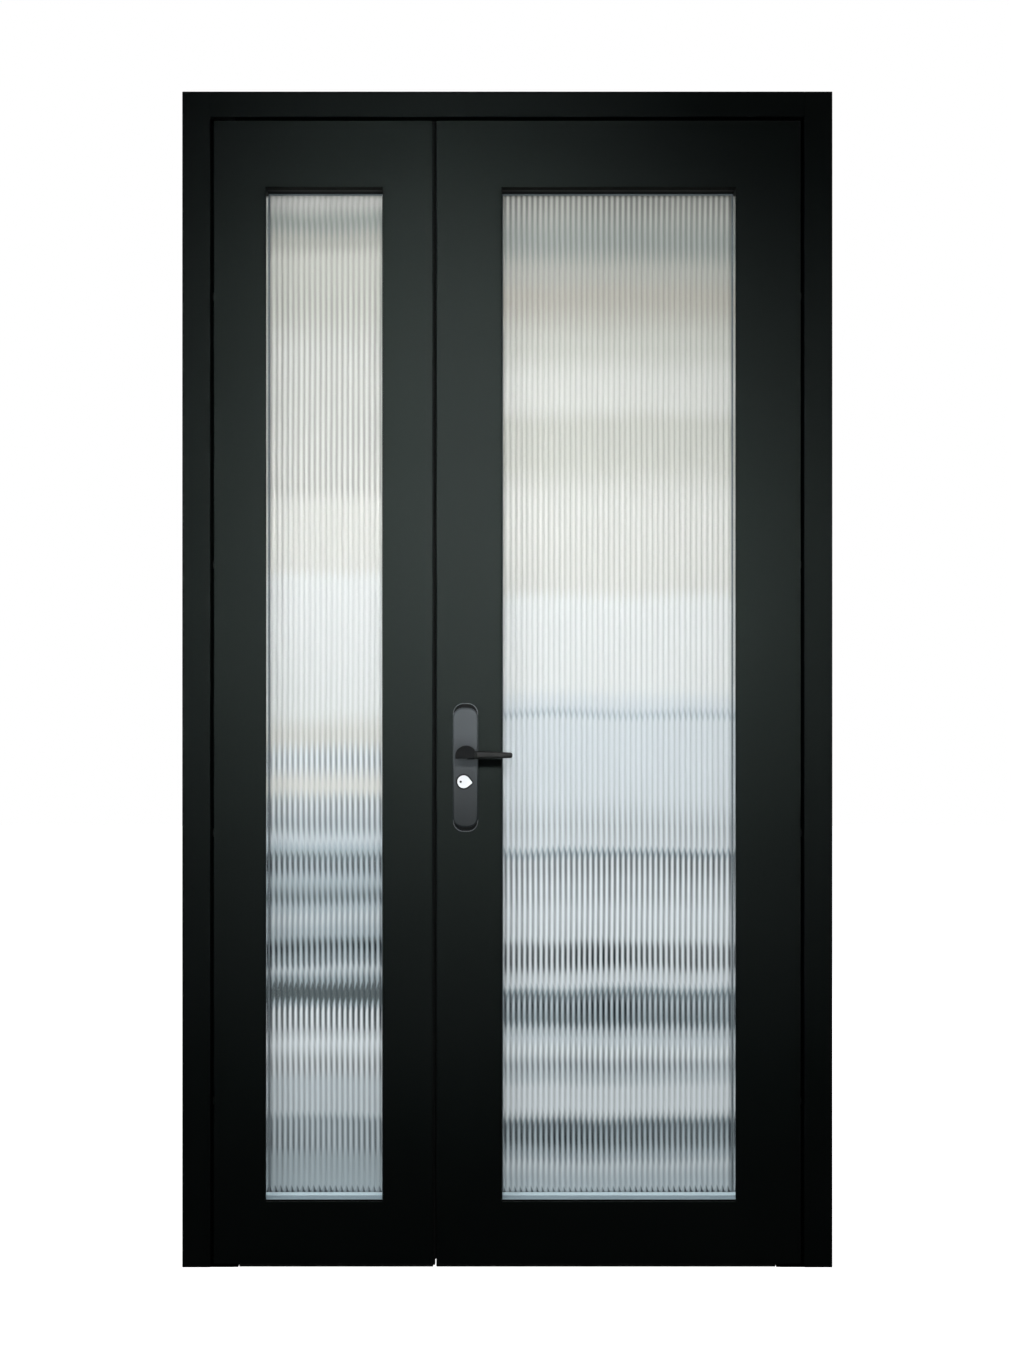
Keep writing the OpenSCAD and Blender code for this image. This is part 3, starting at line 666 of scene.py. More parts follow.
class Effects:
    """The node groups that several finishes share, each built once."""

    @staticmethod
    def _start(name: str, takes: dict[str, float], gives: Sequence[str]) -> tuple[Sheet, Any, Any]:
        """Makes a node group with its sockets.

        Args:
            name: The group's name.
            takes: The inputs and their values.
            gives: The outputs.

        Returns:
            The group's nodes, its inputs and its outputs.
        """
        tree = bpy.data.node_groups.new(name, "ShaderNodeTree")
        for key, value in takes.items():
            socket = tree.interface.new_socket(key, in_out="INPUT", socket_type="NodeSocketFloat")
            socket.default_value = value
        for key in gives:
            tree.interface.new_socket(key, in_out="OUTPUT", socket_type="NodeSocketFloat")
        return Sheet(tree), tree.nodes.new("NodeGroupInput").outputs, tree.nodes.new("NodeGroupOutput").inputs

    @staticmethod
    @cache
    def powder() -> bpy.types.NodeTree:
        """Builds the dimpled skin of a powder coat, with faint clouds in its gloss.

        Returns:
            The group.
        """
        takes = {"Grain": 900.0, "Cloud": 5.0}
        sheet, takes, gives = Effects._start("powder_skin", takes, ("Height", "Cloud"))
        place = sheet.place()
        cloud = sheet.noise(place, takes["Cloud"], 3.0, 0.55)
        sheet.put(gives["Height"], sheet.noise(place, takes["Grain"], 2.0, 0.55))
        sheet.put(gives["Cloud"], sheet.spread(cloud, 0.3, 0.7, 0.0, 1.0))
        return sheet.tree

    @staticmethod
    @cache
    def brushed() -> bpy.types.NodeTree:
        """Builds fine brush lines that run up a plate, with lighter and darker streaks.

        Returns:
            The group.
        """
        takes = {"Fine": 1400.0, "Along": 0.03}
        sheet, takes, gives = Effects._start("brush_lines", takes, ("Height", "Streak"))
        x, y, z = sheet.parts(sheet.place())
        drawn = sheet.node("CombineXYZ")
        for socket, value in zip(drawn.inputs, (x, y, sheet.math("MULTIPLY", z, takes["Along"]))):
            sheet.put(socket, value)
        sheet.put(gives["Height"], sheet.noise(drawn.outputs[0], takes["Fine"], 3.0, 0.6))
        sheet.put(gives["Streak"], sheet.noise(drawn.outputs[0], 160.0, 2.0, 0.5))
        return sheet.tree

    @staticmethod
    @cache
    def dust() -> bpy.types.NodeTree:
        """Builds the faint dust that settles on ledges near the floor.

        Returns:
            The group.
        """
        sheet, takes, gives = Effects._start("settled_dust", {"Amount": 0.3, "Top": 0.25}, ("Mask",))
        place = sheet.place()
        height = sheet.parts(place)[2]
        look = sheet.parts(sheet.node("NewGeometry").outputs["Normal"])[2]
        upward = sheet.spread(look, 0.4, 0.9, 0.0, 1.0)
        low = sheet.math("SUBTRACT", 1.0, sheet.math("DIVIDE", height, takes["Top"]))
        near = sheet.spread(low, 0.0, 1.0, 0.0, 1.0)
        flecks = sheet.spread(sheet.noise(place, 420.0, 4.0, 0.7), 0.45, 0.75, 0.0, 1.0)
        both = sheet.math("MULTIPLY", sheet.math("MULTIPLY", upward, near), flecks)
        sheet.put(gives["Mask"], sheet.math("MULTIPLY", both, takes["Amount"]))
        return sheet.tree

    @staticmethod
    @cache
    def reeds() -> bpy.types.NodeTree:
        """Builds the painted dark lines between the reeds and the bow that a reed puts into what is seen
        through it.

        Returns:
            The group.
        """
        takes = {"Start": 0.0, "Pitch": REED}
        sheet, takes, gives = Effects._start("reed_lines", takes, ("Line", "Bow", "Wander", "Strength"))
        place = sheet.place()
        along = sheet.math("SUBTRACT", sheet.parts(place)[0], takes["Start"])
        turns = sheet.math("DIVIDE", along, takes["Pitch"])
        drift = sheet.spread(sheet.noise(place, 2.2, 1.0), 0.3, 0.7, -0.12, 0.12)
        angle = sheet.math("MULTIPLY", sheet.math("ADD", turns, drift), 2 * math.pi)
        rise = sheet.math("MULTIPLY_ADD", sheet.math("COSINE", angle), 0.5, 0.5)
        sheet.put(gives["Line"], sheet.math("POWER", rise, 1.15))
        sheet.put(gives["Bow"], sheet.math("SINE", sheet.math("ADD", angle, 0.6)))
        sheet.put(gives["Strength"], sheet.spread(sheet.noise(place, 3.4, 2.0), 0.3, 0.7, 0.72, 1.22))
        stretched = sheet.node("Mapping")
        stretched.inputs["Scale"].default_value = (2.6, 1.0, 5.0)
        sheet.put(stretched.inputs["Vector"], place)
        sheet.put(gives["Wander"], sheet.math("SUBTRACT", sheet.noise(stretched.outputs[0], 1.3, 3.0), 0.5))
        return sheet.tree


def place_group(sheet: Sheet, tree: bpy.types.NodeTree, **values: float) -> bpy.types.Node:
    """Places a node group in a material with its own values.

    Args:
        sheet: The material's nodes.
        tree: The group.
        values: The group's inputs.

    Returns:
        The group node.
    """
    made = sheet.node("Group", node_tree=tree)
    for key, value in values.items():
        made.inputs[key].default_value = value
    return made


def new_material(name: str) -> tuple[bpy.types.Material, Sheet, bpy.types.Node]:
    """Makes a material with its main shader.

    Args:
        name: The material's name.

    Returns:
        The material, its nodes and its shader.
    """
    material = bpy.data.materials.new(name)
    material.use_nodes = True
    return material, Sheet(material.node_tree), material.node_tree.nodes["Principled BSDF"]


def put_bump(sheet: Sheet, shader: bpy.types.Node, height: Any, strength: float, depth: float) -> None:
    """Feeds a height to a shader's normal.

    Args:
        sheet: The material's nodes.
        shader: The main shader.
        height: The height pattern.
        strength: How strongly it shows.
        depth: Its depth.
    """
    bump = sheet.node("Bump")
    bump.inputs["Strength"].default_value = strength
    bump.inputs["Distance"].default_value = depth
    sheet.put(bump.inputs["Height"], height)
    sheet.put(shader.inputs["Normal"], bump.outputs[0])


@dataclass(frozen=True)
class Paint:
    """A powder coat or lacquer on steel, with its dimpled skin and faint clouds, and, where one is given, a
    painted shade that darkens it towards the bottom.
    """

    name: str
    colour: str
    clouded: str
    rough: float
    gloss: float
    tint: str = "ffffff"
    grain: float = 900.0
    cloud: float = 4.0
    sway: float = 0.008
    bump: float = 0.10
    dust: float = 0.25
    dust_top: float = 0.25
    dust_tone: str = "8d8a84"
    painted_shade: str = ""
    painted_shade_from: float = 0.0
    painted_shade_to: float = 0.0

    def make(self) -> bpy.types.Material:
        """Builds the material.

        Returns:
            The material.
        """
        material, sheet, shader = new_material(self.name)
        skin = place_group(sheet, Effects.powder(), Grain=self.grain, Cloud=self.cloud)
        dust = place_group(sheet, Effects.dust(), Amount=self.dust, Top=self.dust_top)
        colour = sheet.mix(skin.outputs["Cloud"], tone(self.colour), tone(self.clouded))
        colour = sheet.mix(dust.outputs["Mask"], colour, tone(self.dust_tone))
        # Painted shade: the colour darkens towards the bottom, standing in for light that falls from above.
        if self.painted_shade:
            height = sheet.parts(sheet.place())[2]
            lower = sheet.spread(height, self.painted_shade_to, self.painted_shade_from, 1.0, 0.0)
            colour = sheet.mix(lower, colour, tone(self.painted_shade))
        sheet.put(shader.inputs["Base Color"], colour)
        low, high = self.rough - self.sway, self.rough + self.sway
        sheet.put(shader.inputs["Roughness"], sheet.spread(skin.outputs["Cloud"], 0.0, 1.0, low, high))
        shader.inputs["Specular IOR Level"].default_value = self.gloss
        shader.inputs["Specular Tint"].default_value = tone(self.tint)
        put_bump(sheet, shader, skin.outputs["Height"], self.bump, 0.0004)
        return material


@dataclass(frozen=True)
class Rubber(Paint):
    """Rubber with a matt, finely pitted skin, black where no other tone is given."""

    colour: str = "040505"
    clouded: str = "090a0a"
    rough: float = 0.74
    gloss: float = 0.12
    grain: float = 1800.0
    cloud: float = 26.0
    sway: float = 0.05
    bump: float = 0.2
    dust: float = 0.4
    dust_top: float = 0.15
    dust_tone: str = "6f6c66"


@dataclass(frozen=True)
class Metal:
    """Bare or plated metal with fine brush lines."""

    name: str
    colour: str
    streak: str
    rough: float
    metal: float = 1.0
    bump: float = 0.05
    along: float = 0.03
    sway: float = 0.05

    def make(self) -> bpy.types.Material:
        """Builds the material.

        Returns:
            The material.
        """
        material, sheet, shader = new_material(self.name)
        lines = place_group(sheet, Effects.brushed(), Fine=1400.0, Along=self.along)
        streak = sheet.spread(lines.outputs["Streak"], 0.3, 0.7, 0.0, 1.0)
        sheet.put(shader.inputs["Base Color"], sheet.mix(streak, tone(self.colour), tone(self.streak)))
        low, high = self.rough - self.sway, self.rough + self.sway
        sheet.put(shader.inputs["Roughness"], sheet.spread(lines.outputs["Height"], 0.25, 0.75, low, high))
        shader.inputs["Metallic"].default_value = self.metal
        put_bump(sheet, shader, lines.outputs["Height"], self.bump, 0.0002)
        return material


class PaintedView(Enum):
    """The tones of the bright surroundings seen through the reeded glass, painted into its colour as painted
    light and shade.
    """

    PEARL = "dde4e7"
    CLOUD = "dde1e0"
    CHALK = "d7d9d5"
    HAZE = "cdcfc9"
    LINEN = "bfbeb6"
    STONE = "bdbfb9"
    ASH = "b0b6b2"
    FROST = "d4dbde"
    MIST = "c8d1d5"
    DEW = "b9c4c9"
    STEEL = "abb7bc"
    SLATE = "9ba7ad"
    DUSK = "6d787b"


@dataclass(frozen=True)
class Band:
    """A soft band of painted light and shade across a pane: its height, its painted tone and how dark the
    painted lines between the reeds are.
    """

    height: float
    painted_view: PaintedView
    lines: float


def bands(*rows: tuple[float, PaintedView, float]) -> tuple[Band, ...]:
    """Makes bands from rows of a height, a tone and a strength."""
    return tuple(Band(*row) for row in rows)


# The painted bands of light and shade of each pane from its foot up: height, tone and strength of the lines.
# The darker tones at the very top are a painted shadow of the window's top.
# A ramp holds 32 stops at most, so a pane has a lower and an upper table.
NARROW_LOW = bands(
    (0.124, PaintedView.SLATE, 1.20), (0.129, PaintedView.SLATE, 1.00), (0.134, PaintedView.STEEL, 0.12),
    (0.150, PaintedView.STEEL, 0.16), (0.190, PaintedView.STEEL, 0.28), (0.220, PaintedView.DEW, 0.78),
    (0.260, PaintedView.DEW, 0.70), (0.280, PaintedView.MIST, 0.34), (0.330, PaintedView.MIST, 0.30),
    (0.362, PaintedView.FROST, 0.58), (0.405, PaintedView.PEARL, 0.30), (0.420, PaintedView.FROST, 0.40),
    (0.440, PaintedView.PEARL, 0.80), (0.464, PaintedView.PEARL, 0.90), (0.476, PaintedView.DEW, 0.90),
    (0.490, PaintedView.DUSK, 0.35), (0.508, PaintedView.DUSK, 0.45), (0.520, PaintedView.STEEL, 0.70),
    (0.545, PaintedView.MIST, 0.40), (0.562, PaintedView.DEW, 0.74), (0.588, PaintedView.STEEL, 1.00),
    (0.612, PaintedView.DEW, 0.42), (0.642, PaintedView.MIST, 0.42), (0.662, PaintedView.DEW, 0.30),
    (0.682, PaintedView.STEEL, 0.66), (0.712, PaintedView.DEW, 0.30), (0.742, PaintedView.DEW, 0.92),
    (0.756, PaintedView.STEEL, 0.70), (0.768, PaintedView.DEW, 0.15), (0.785, PaintedView.MIST, 0.08),
    (0.815, PaintedView.MIST, 0.60),
)
NARROW_TOP = bands(
    (0.815, PaintedView.MIST, 0.62), (0.848, PaintedView.FROST, 0.62), (0.885, PaintedView.CHALK, 0.12),
    (0.935, PaintedView.PEARL, 0.50), (0.980, PaintedView.CHALK, 0.20), (1.035, PaintedView.CLOUD, 0.12),
    (1.265, PaintedView.CLOUD, 0.06), (1.295, PaintedView.CHALK, 0.05), (1.410, PaintedView.CHALK, 0.05),
    (1.450, PaintedView.CHALK, 0.26), (1.690, PaintedView.CHALK, 0.28), (1.790, PaintedView.HAZE, 0.22),
    (1.870, PaintedView.HAZE, 0.15), (1.905, PaintedView.STONE, 0.16), (1.940, PaintedView.ASH, 0.20),
    (1.985, PaintedView.CHALK, 0.12),
)
WIDE_LOW = bands(
    (0.124, PaintedView.STEEL, 1.20), (0.129, PaintedView.STEEL, 1.05), (0.134, PaintedView.DEW, 0.20),
    (0.150, PaintedView.DEW, 0.28), (0.178, PaintedView.MIST, 0.36), (0.196, PaintedView.DEW, 0.52),
    (0.226, PaintedView.STEEL, 0.96), (0.250, PaintedView.SLATE, 0.86), (0.272, PaintedView.FROST, 0.45),
    (0.286, PaintedView.FROST, 0.22), (0.320, PaintedView.FROST, 0.26), (0.345, PaintedView.MIST, 0.42),
    (0.366, PaintedView.MIST, 0.62), (0.390, PaintedView.PEARL, 0.52), (0.417, PaintedView.MIST, 0.20),
    (0.430, PaintedView.MIST, 0.52), (0.448, PaintedView.STEEL, 1.00), (0.478, PaintedView.DEW, 1.15),
    (0.496, PaintedView.SLATE, 0.76), (0.508, PaintedView.MIST, 0.55), (0.518, PaintedView.FROST, 0.25),
    (0.532, PaintedView.FROST, 0.34), (0.560, PaintedView.FROST, 0.98), (0.580, PaintedView.FROST, 0.92),
    (0.606, PaintedView.PEARL, 0.46), (0.645, PaintedView.PEARL, 0.40), (0.690, PaintedView.PEARL, 0.58),
    (0.742, PaintedView.FROST, 0.66), (0.760, PaintedView.DEW, 0.58), (0.772, PaintedView.FROST, 0.26),
    (0.820, PaintedView.FROST, 0.34),
)
WIDE_TOP = bands(
    (0.820, PaintedView.FROST, 0.30), (0.880, PaintedView.FROST, 0.14), (0.960, PaintedView.FROST, 0.10),
    (1.008, PaintedView.FROST, 0.12), (1.020, PaintedView.MIST, 0.25), (1.033, PaintedView.FROST, 0.12),
    (1.075, PaintedView.CLOUD, 0.10), (1.225, PaintedView.CLOUD, 0.10), (1.262, PaintedView.CHALK, 0.13),
    (1.410, PaintedView.CHALK, 0.10), (1.500, PaintedView.HAZE, 0.10), (1.560, PaintedView.HAZE, 0.10),
    (1.605, PaintedView.CHALK, 0.06), (1.640, PaintedView.CHALK, 0.06), (1.710, PaintedView.HAZE, 0.10),
    (1.800, PaintedView.LINEN, 0.12), (1.845, PaintedView.STONE, 0.12), (1.905, PaintedView.ASH, 0.30),
    (1.985, PaintedView.HAZE, 0.50),
)


@dataclass(frozen=True)
class ReededGlass:
    """Pale reeded glass, with the soft bands and the lines between the reeds that the surroundings show
    through it painted onto its front as painted light and shade.
    """

    name: str
    start: float
    lower: tuple[Band, ...]
    upper: tuple[Band, ...]
    bow: float = 0.006
    wander: float = 0.03
    middle: float = 0.0112
    # tone of the painted shade in the lines between the reeds
    dark: str = "1a242d"
    back: str = "e6ebea"
    depth: float = 1.35
    rough: float = 0.25
    bend: float = 1.45
    clear: float = 0.45
    gloss: float = 0.3

    def _ramp(self, sheet: Sheet, height: Any, bands: Sequence[Band], shades: Sequence[Shade]) -> Any:
        """Adds a ramp with a stop at each band.

        Args:
            sheet: The material's nodes.
            height: The height on the pane.
            bands: The bands, from the lowest up.
            shades: A colour for each band.

        Returns:
            The ramp's colour.
        """
        low, high = bands[0].height, bands[-1].height
        ramp = sheet.node("ValToRGB")
        ramp.color_ramp.interpolation = "EASE"
        stops = ramp.color_ramp.elements
        stops[0].color, stops[1].color = shades[0], shades[-1]
        for band, shade in zip(bands[1:-1], shades[1:-1]):
            stops.new((band.height - low) / (high - low)).color = shade
        sheet.put(ramp.inputs[0], sheet.spread(height, low, high, 0.0, 1.0))
        return ramp.outputs[0]

    def _banded(self, sheet: Sheet, height: Any, shade: Callable[[Band], Shade]) -> Any:
        """Joins the ramps of the lower and the upper bands.

        Args:
            sheet: The material's nodes.
            height: The height on the pane.
            shade: Gives a band's colour.

        Returns:
            The colour at that height.
        """
        low = self._ramp(sheet, height, self.lower, [shade(band) for band in self.lower])
        top = self._ramp(sheet, height, self.upper, [shade(band) for band in self.upper])
        return sheet.mix(sheet.math("GREATER_THAN", height, self.upper[0].height), low, top)

    def make(self) -> bpy.types.Material:
        """Builds the material: painted bands and lines of light and shade on the reeded front, and a plain
        pale back.

        Returns:
            The material.
        """
        material, sheet, shader = new_material(self.name)
        reeds = place_group(sheet, Effects.reeds(), Start=self.start, Pitch=REED).outputs
        _, depth, level = sheet.parts(sheet.place())
        bowed = sheet.math("MULTIPLY_ADD", reeds["Bow"], self.bow, level)
        height = sheet.math("MULTIPLY_ADD", reeds["Wander"], self.wander, bowed)
        # Painted light and shade: the bands of the surroundings seen through the glass, drawn by height.
        painted_view = self._banded(sheet, height, lambda band: tone(band.painted_view.value))
        lines = self._banded(sheet, height, lambda band: (band.lines, band.lines, band.lines, 1.0))
        # Painted shade: the dark lines between the reeds.
        dark = sheet.math("MULTIPLY", reeds["Line"], sheet.math("MULTIPLY", lines, reeds["Strength"]))
        front = sheet.node("Gamma")
        front.inputs["Gamma"].default_value = self.depth
        sheet.put(front.inputs["Color"], sheet.mix(dark, painted_view, tone(self.dark)))
        behind = sheet.math("GREATER_THAN", depth, self.middle)
        sheet.put(shader.inputs["Base Color"], sheet.mix(behind, front.outputs[0], tone(self.back)))
        shader.inputs["Roughness"].default_value = self.rough
        shader.inputs["IOR"].default_value = self.bend
        shader.inputs["Transmission Weight"].default_value = self.clear
        shader.inputs["Specular IOR Level"].default_value = self.gloss
        fine = place_group(sheet, Effects.powder(), Grain=260.0, Cloud=8.0)
        put_bump(sheet, shader, fine.outputs["Height"], 0.03, 0.0005)
        return material


@dataclass(frozen=True)
class Finishes:
    """All finishes of the door, built once."""

    frame: bpy.types.Material
    leaf: bpy.types.Material
    inside: bpy.types.Material
    rubber: bpy.types.Material
    gasket: bpy.types.Material
    narrow_glass: bpy.types.Material
    wide_glass: bpy.types.Material
    trim: bpy.types.Material
    polished: bpy.types.Material
    dull: bpy.types.Material
    steel: bpy.types.Material
    dark_steel: bpy.types.Material
    plate: bpy.types.Material
    rim: bpy.types.Material
    lever: bpy.types.Material
    chrome: bpy.types.Material
    nickel: bpy.types.Material
    bezel: bpy.types.Material

    @classmethod
    def build(cls) -> "Finishes":
        """Builds every finish.

        Returns:
            The finishes.
        """
        return cls(
            frame=Paint("frame_powder", "020303", "030404", 0.58, 0.33, "e8fef8").make(),
            leaf=Paint("leaf_powder", "020303", "030404", 0.58, 0.43, "e8fef8").make(),
            inside=Paint("tube_primer", "26282a", "303335", 0.70, 0.20).make(),
            rubber=Rubber("seal_rubber").make(),
            gasket=Rubber("glazing_rubber", "565f63", "5c6569").make(),
            narrow_glass=ReededGlass("narrow_pane", NARROW_REED, NARROW_LOW, NARROW_TOP).make(),
            wide_glass=ReededGlass("wide_pane", WIDE_REED, WIDE_LOW, WIDE_TOP).make(),
            polished=Metal("polished_edge", "fafcfc", "f4f7f8", 0.10, bump=0.01, along=1.0).make(),
            dull=Metal("dull_trim", "a2b4bd", "9aacb5", 0.45, metal=0.0, along=1.0).make(),
            trim=Metal("pale_trim", "cfe2ea", "c8dbe3", 0.42, metal=0.0, along=1.0).make(),
            steel=Metal("zinc_steel", "8b8f92", "a6a9ab", 0.36).make(),
            dark_steel=Metal("black_oxide", "131415", "1d1f20", 0.48).make(),
            plate=Paint(
                "plate_gunmetal",
                "393e41",
                "3d4245",
                0.50,
                0.25,
                grain=1500.0,
                bump=0.05,
                dust=0.0,
                # painted shade: the plate is painted darker towards its foot
                painted_shade="171b1d",
                painted_shade_from=0.985,
                painted_shade_to=0.805,
            ).make(),
            rim=Metal("plate_edge", "767b7f", "7d8286", 0.30, metal=0.8, along=1.0).make(),
            lever=Paint(
                "lever_satin", "090b0b", "0c0e0e", 0.48, 0.34, grain=1600.0, bump=0.04, dust=0.0
            ).make(),
            chrome=Metal("cover_polish", "dfe2e5", "dbdfe2", 0.24, metal=0.25, bump=0.01, along=1.0).make(),
            nickel=Metal("cylinder_satin", "b3b0a8", "c3c0b8", 0.30).make(),
            # black for the bezel, and as painted shade on the plate's groove, the lever's root, the cover's
            # dimple and the strip under the window's top
            bezel=Paint("bezel_black", "07090a", "0a0c0d", 0.55, 0.14, grain=1600.0, dust=0.0).make(),
        )


def dress(
    piece: bpy.types.Object, finish: bpy.types.Material, body: str, nodes: Sequence[str] = ()
) -> None:
    """Gives a finished piece its material, the body that it rides on and the nodes that it stands for.

    Args:
        piece: The piece.
        finish: Its material.
        body: The body that it moves with.
        nodes: The nodes that it stands for.
    """
    if not piece.data.materials:
        piece.data.materials.append(finish)
    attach(piece, body)
    if nodes:
        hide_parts(*nodes)
    LOG.info("%s: %d faces, moves with %s", piece.name, len(piece.data.polygons), body)


@dataclass
class FrameSurround:
    """The steel frame on three sides, with its stops and rubber seals."""

    finishes: Finishes
    half: float = 0.600
    top: float = 2.170
    back: float = 0.075
    inner: float = 0.548
    stop: float = 0.530
    stop_front: float = 0.0395
    head_low: float = 2.123
    stop_low: float = 2.105
    fold: float = 0.0012
    seal_out: float = 0.002
    seal_inset: float = 0.003
    seal_width: float = 0.012
    fixing_x: float = 0.574
    fixing_radius: float = 0.00805
    fixings: tuple[float, ...] = (0.3, 0.8, 1.3, 1.8)
    toe_low: Point = (-0.5045, -0.0336, 0.0002)
    toe_high: Point = (-0.4968, -0.0120, 0.0052)

    def left_jamb(self) -> bpy.types.Object:
        """Models the left jamb: a folded section whose stop stands out on its back half.

        Returns:
            The jamb.
        """
        jamb = Bench.block("left_jamb_section", (-self.half, FRONT, 0.0), (-self.inner, self.back, self.top))
        low = (0.0, self.stop_front, -1.0)
        high = (0.0, 1.0, self.stop_low)
        with Bench.editing(jamb):
            Bench.score(jamb, Axis.X, -self.inner, low, high)
            Bench.pick(jamb, Pick.FACE, lambda f: facing(Axis.X, 1)(f) and within(f, Axis.X, low, high))
            Bench.extrude((self.inner - self.stop, 0.0, 0.0))
            Bench.round_edges(jamb, self.fold, 2, lambda e: sharp(e) and upper_end(e, Axis.Z) > NEAR)
        holes = [Hole(Axis.X, (-self.fixing_x, 0.0, z), self.fixing_radius, 0.08) for z in self.fixings]
        Bench.drill(jamb, holes)
        Bench.smooth(jamb)
        return jamb

    def head(self) -> bpy.types.Object:
        """Models the head between the jambs, with the hole for the upper bolt.

        Returns:
            The head.
        """
        start, end = (-self.inner, FRONT, self.head_low), (self.inner, self.back, self.top)
        head = Bench.block("head_section", start, end)
        low = (-1.0, self.stop_front, 0.0)
        high = (1.0, 1.0, 0.0)
        with Bench.editing(head):
            Bench.score(head, Axis.Z, self.head_low, low, high)
            Bench.pick(head, Pick.FACE, lambda f: facing(Axis.Z, -1)(f) and within(f, Axis.Z, low, high))
            Bench.extrude((0.0, 0.0, self.stop_low - self.head_low))
            Bench.round_edges(head, self.fold, 2, lambda e: sharp(e) and runs_along(e, Axis.X))
        Bench.drill(head, [Hole(Axis.Z, (BOLT_X, LOCK_Y, self.head_low), BOLT_HOLE, 0.05)])
        Bench.smooth(head)
        return head

    def seals(self) -> dict[str, bpy.types.Object]:
        """Models the soft seals on the three stops, with round front edges.

        Returns:
            Each seal, by the node that it stands for.
        """
        edge, width = self.inner - self.seal_inset, self.seal_width
        front = self.stop_front - self.seal_out
        top = self.stop_low + self.seal_inset
        boxes = {
            "left_jamb_seal": ((-edge, front, 0.0), (-edge + width, self.stop_front, top)),
            "right_jamb_seal": ((edge - width, front, 0.0), (edge, self.stop_front, top)),
            "head_seal": ((-self.inner, front, top), (self.inner, self.stop_front, top + width)),
        }
        made = {}
        for node, (low, high) in boxes.items():
            seal = Bench.block(f"{node}_strip", low, high)
            with Bench.editing(seal):
                Bench.round_edges(seal, 0.0009, 3, lambda e: sharp(e) and e.verts[0].co.y < front + NEAR)
            Bench.smooth(seal)
            made[node] = seal
        return made

    def pivot_toe(self) -> bpy.types.Object:
        """Models the toe that closes the gap between the left floor pivot and the leaf's floor lip.

        Returns:
            The toe.
        """
        toe = Bench.block("left_pivot_toe", self.toe_low, self.toe_high)
        top = self.toe_high[2] - NEAR
        with Bench.editing(toe):
            Bench.round_edges(toe, 0.0006, 2, lambda e: sharp(e) and upper_end(e, Axis.Z) > top)
        Bench.smooth(toe)
        return toe

    def build(self) -> None:
        """Models and dresses the frame."""
        left = self.left_jamb()
        right = Bench.mirror(left, "right_jamb_section", Axis.X)
        Bench.smooth(right)
        for piece, node in ((left, "left_jamb"), (right, "right_jamb"), (self.head(), "head")):
            dress(piece, self.finishes.frame, "frame", [node])
        for node, seal in self.seals().items():
            dress(seal, self.finishes.rubber, "frame", [node])
        toe = self.pivot_toe()
        twin = Bench.mirror(toe, "right_pivot_toe", Axis.X)
        Bench.smooth(twin)
        for piece in (toe, twin):
            dress(piece, self.finishes.dark_steel, "frame")


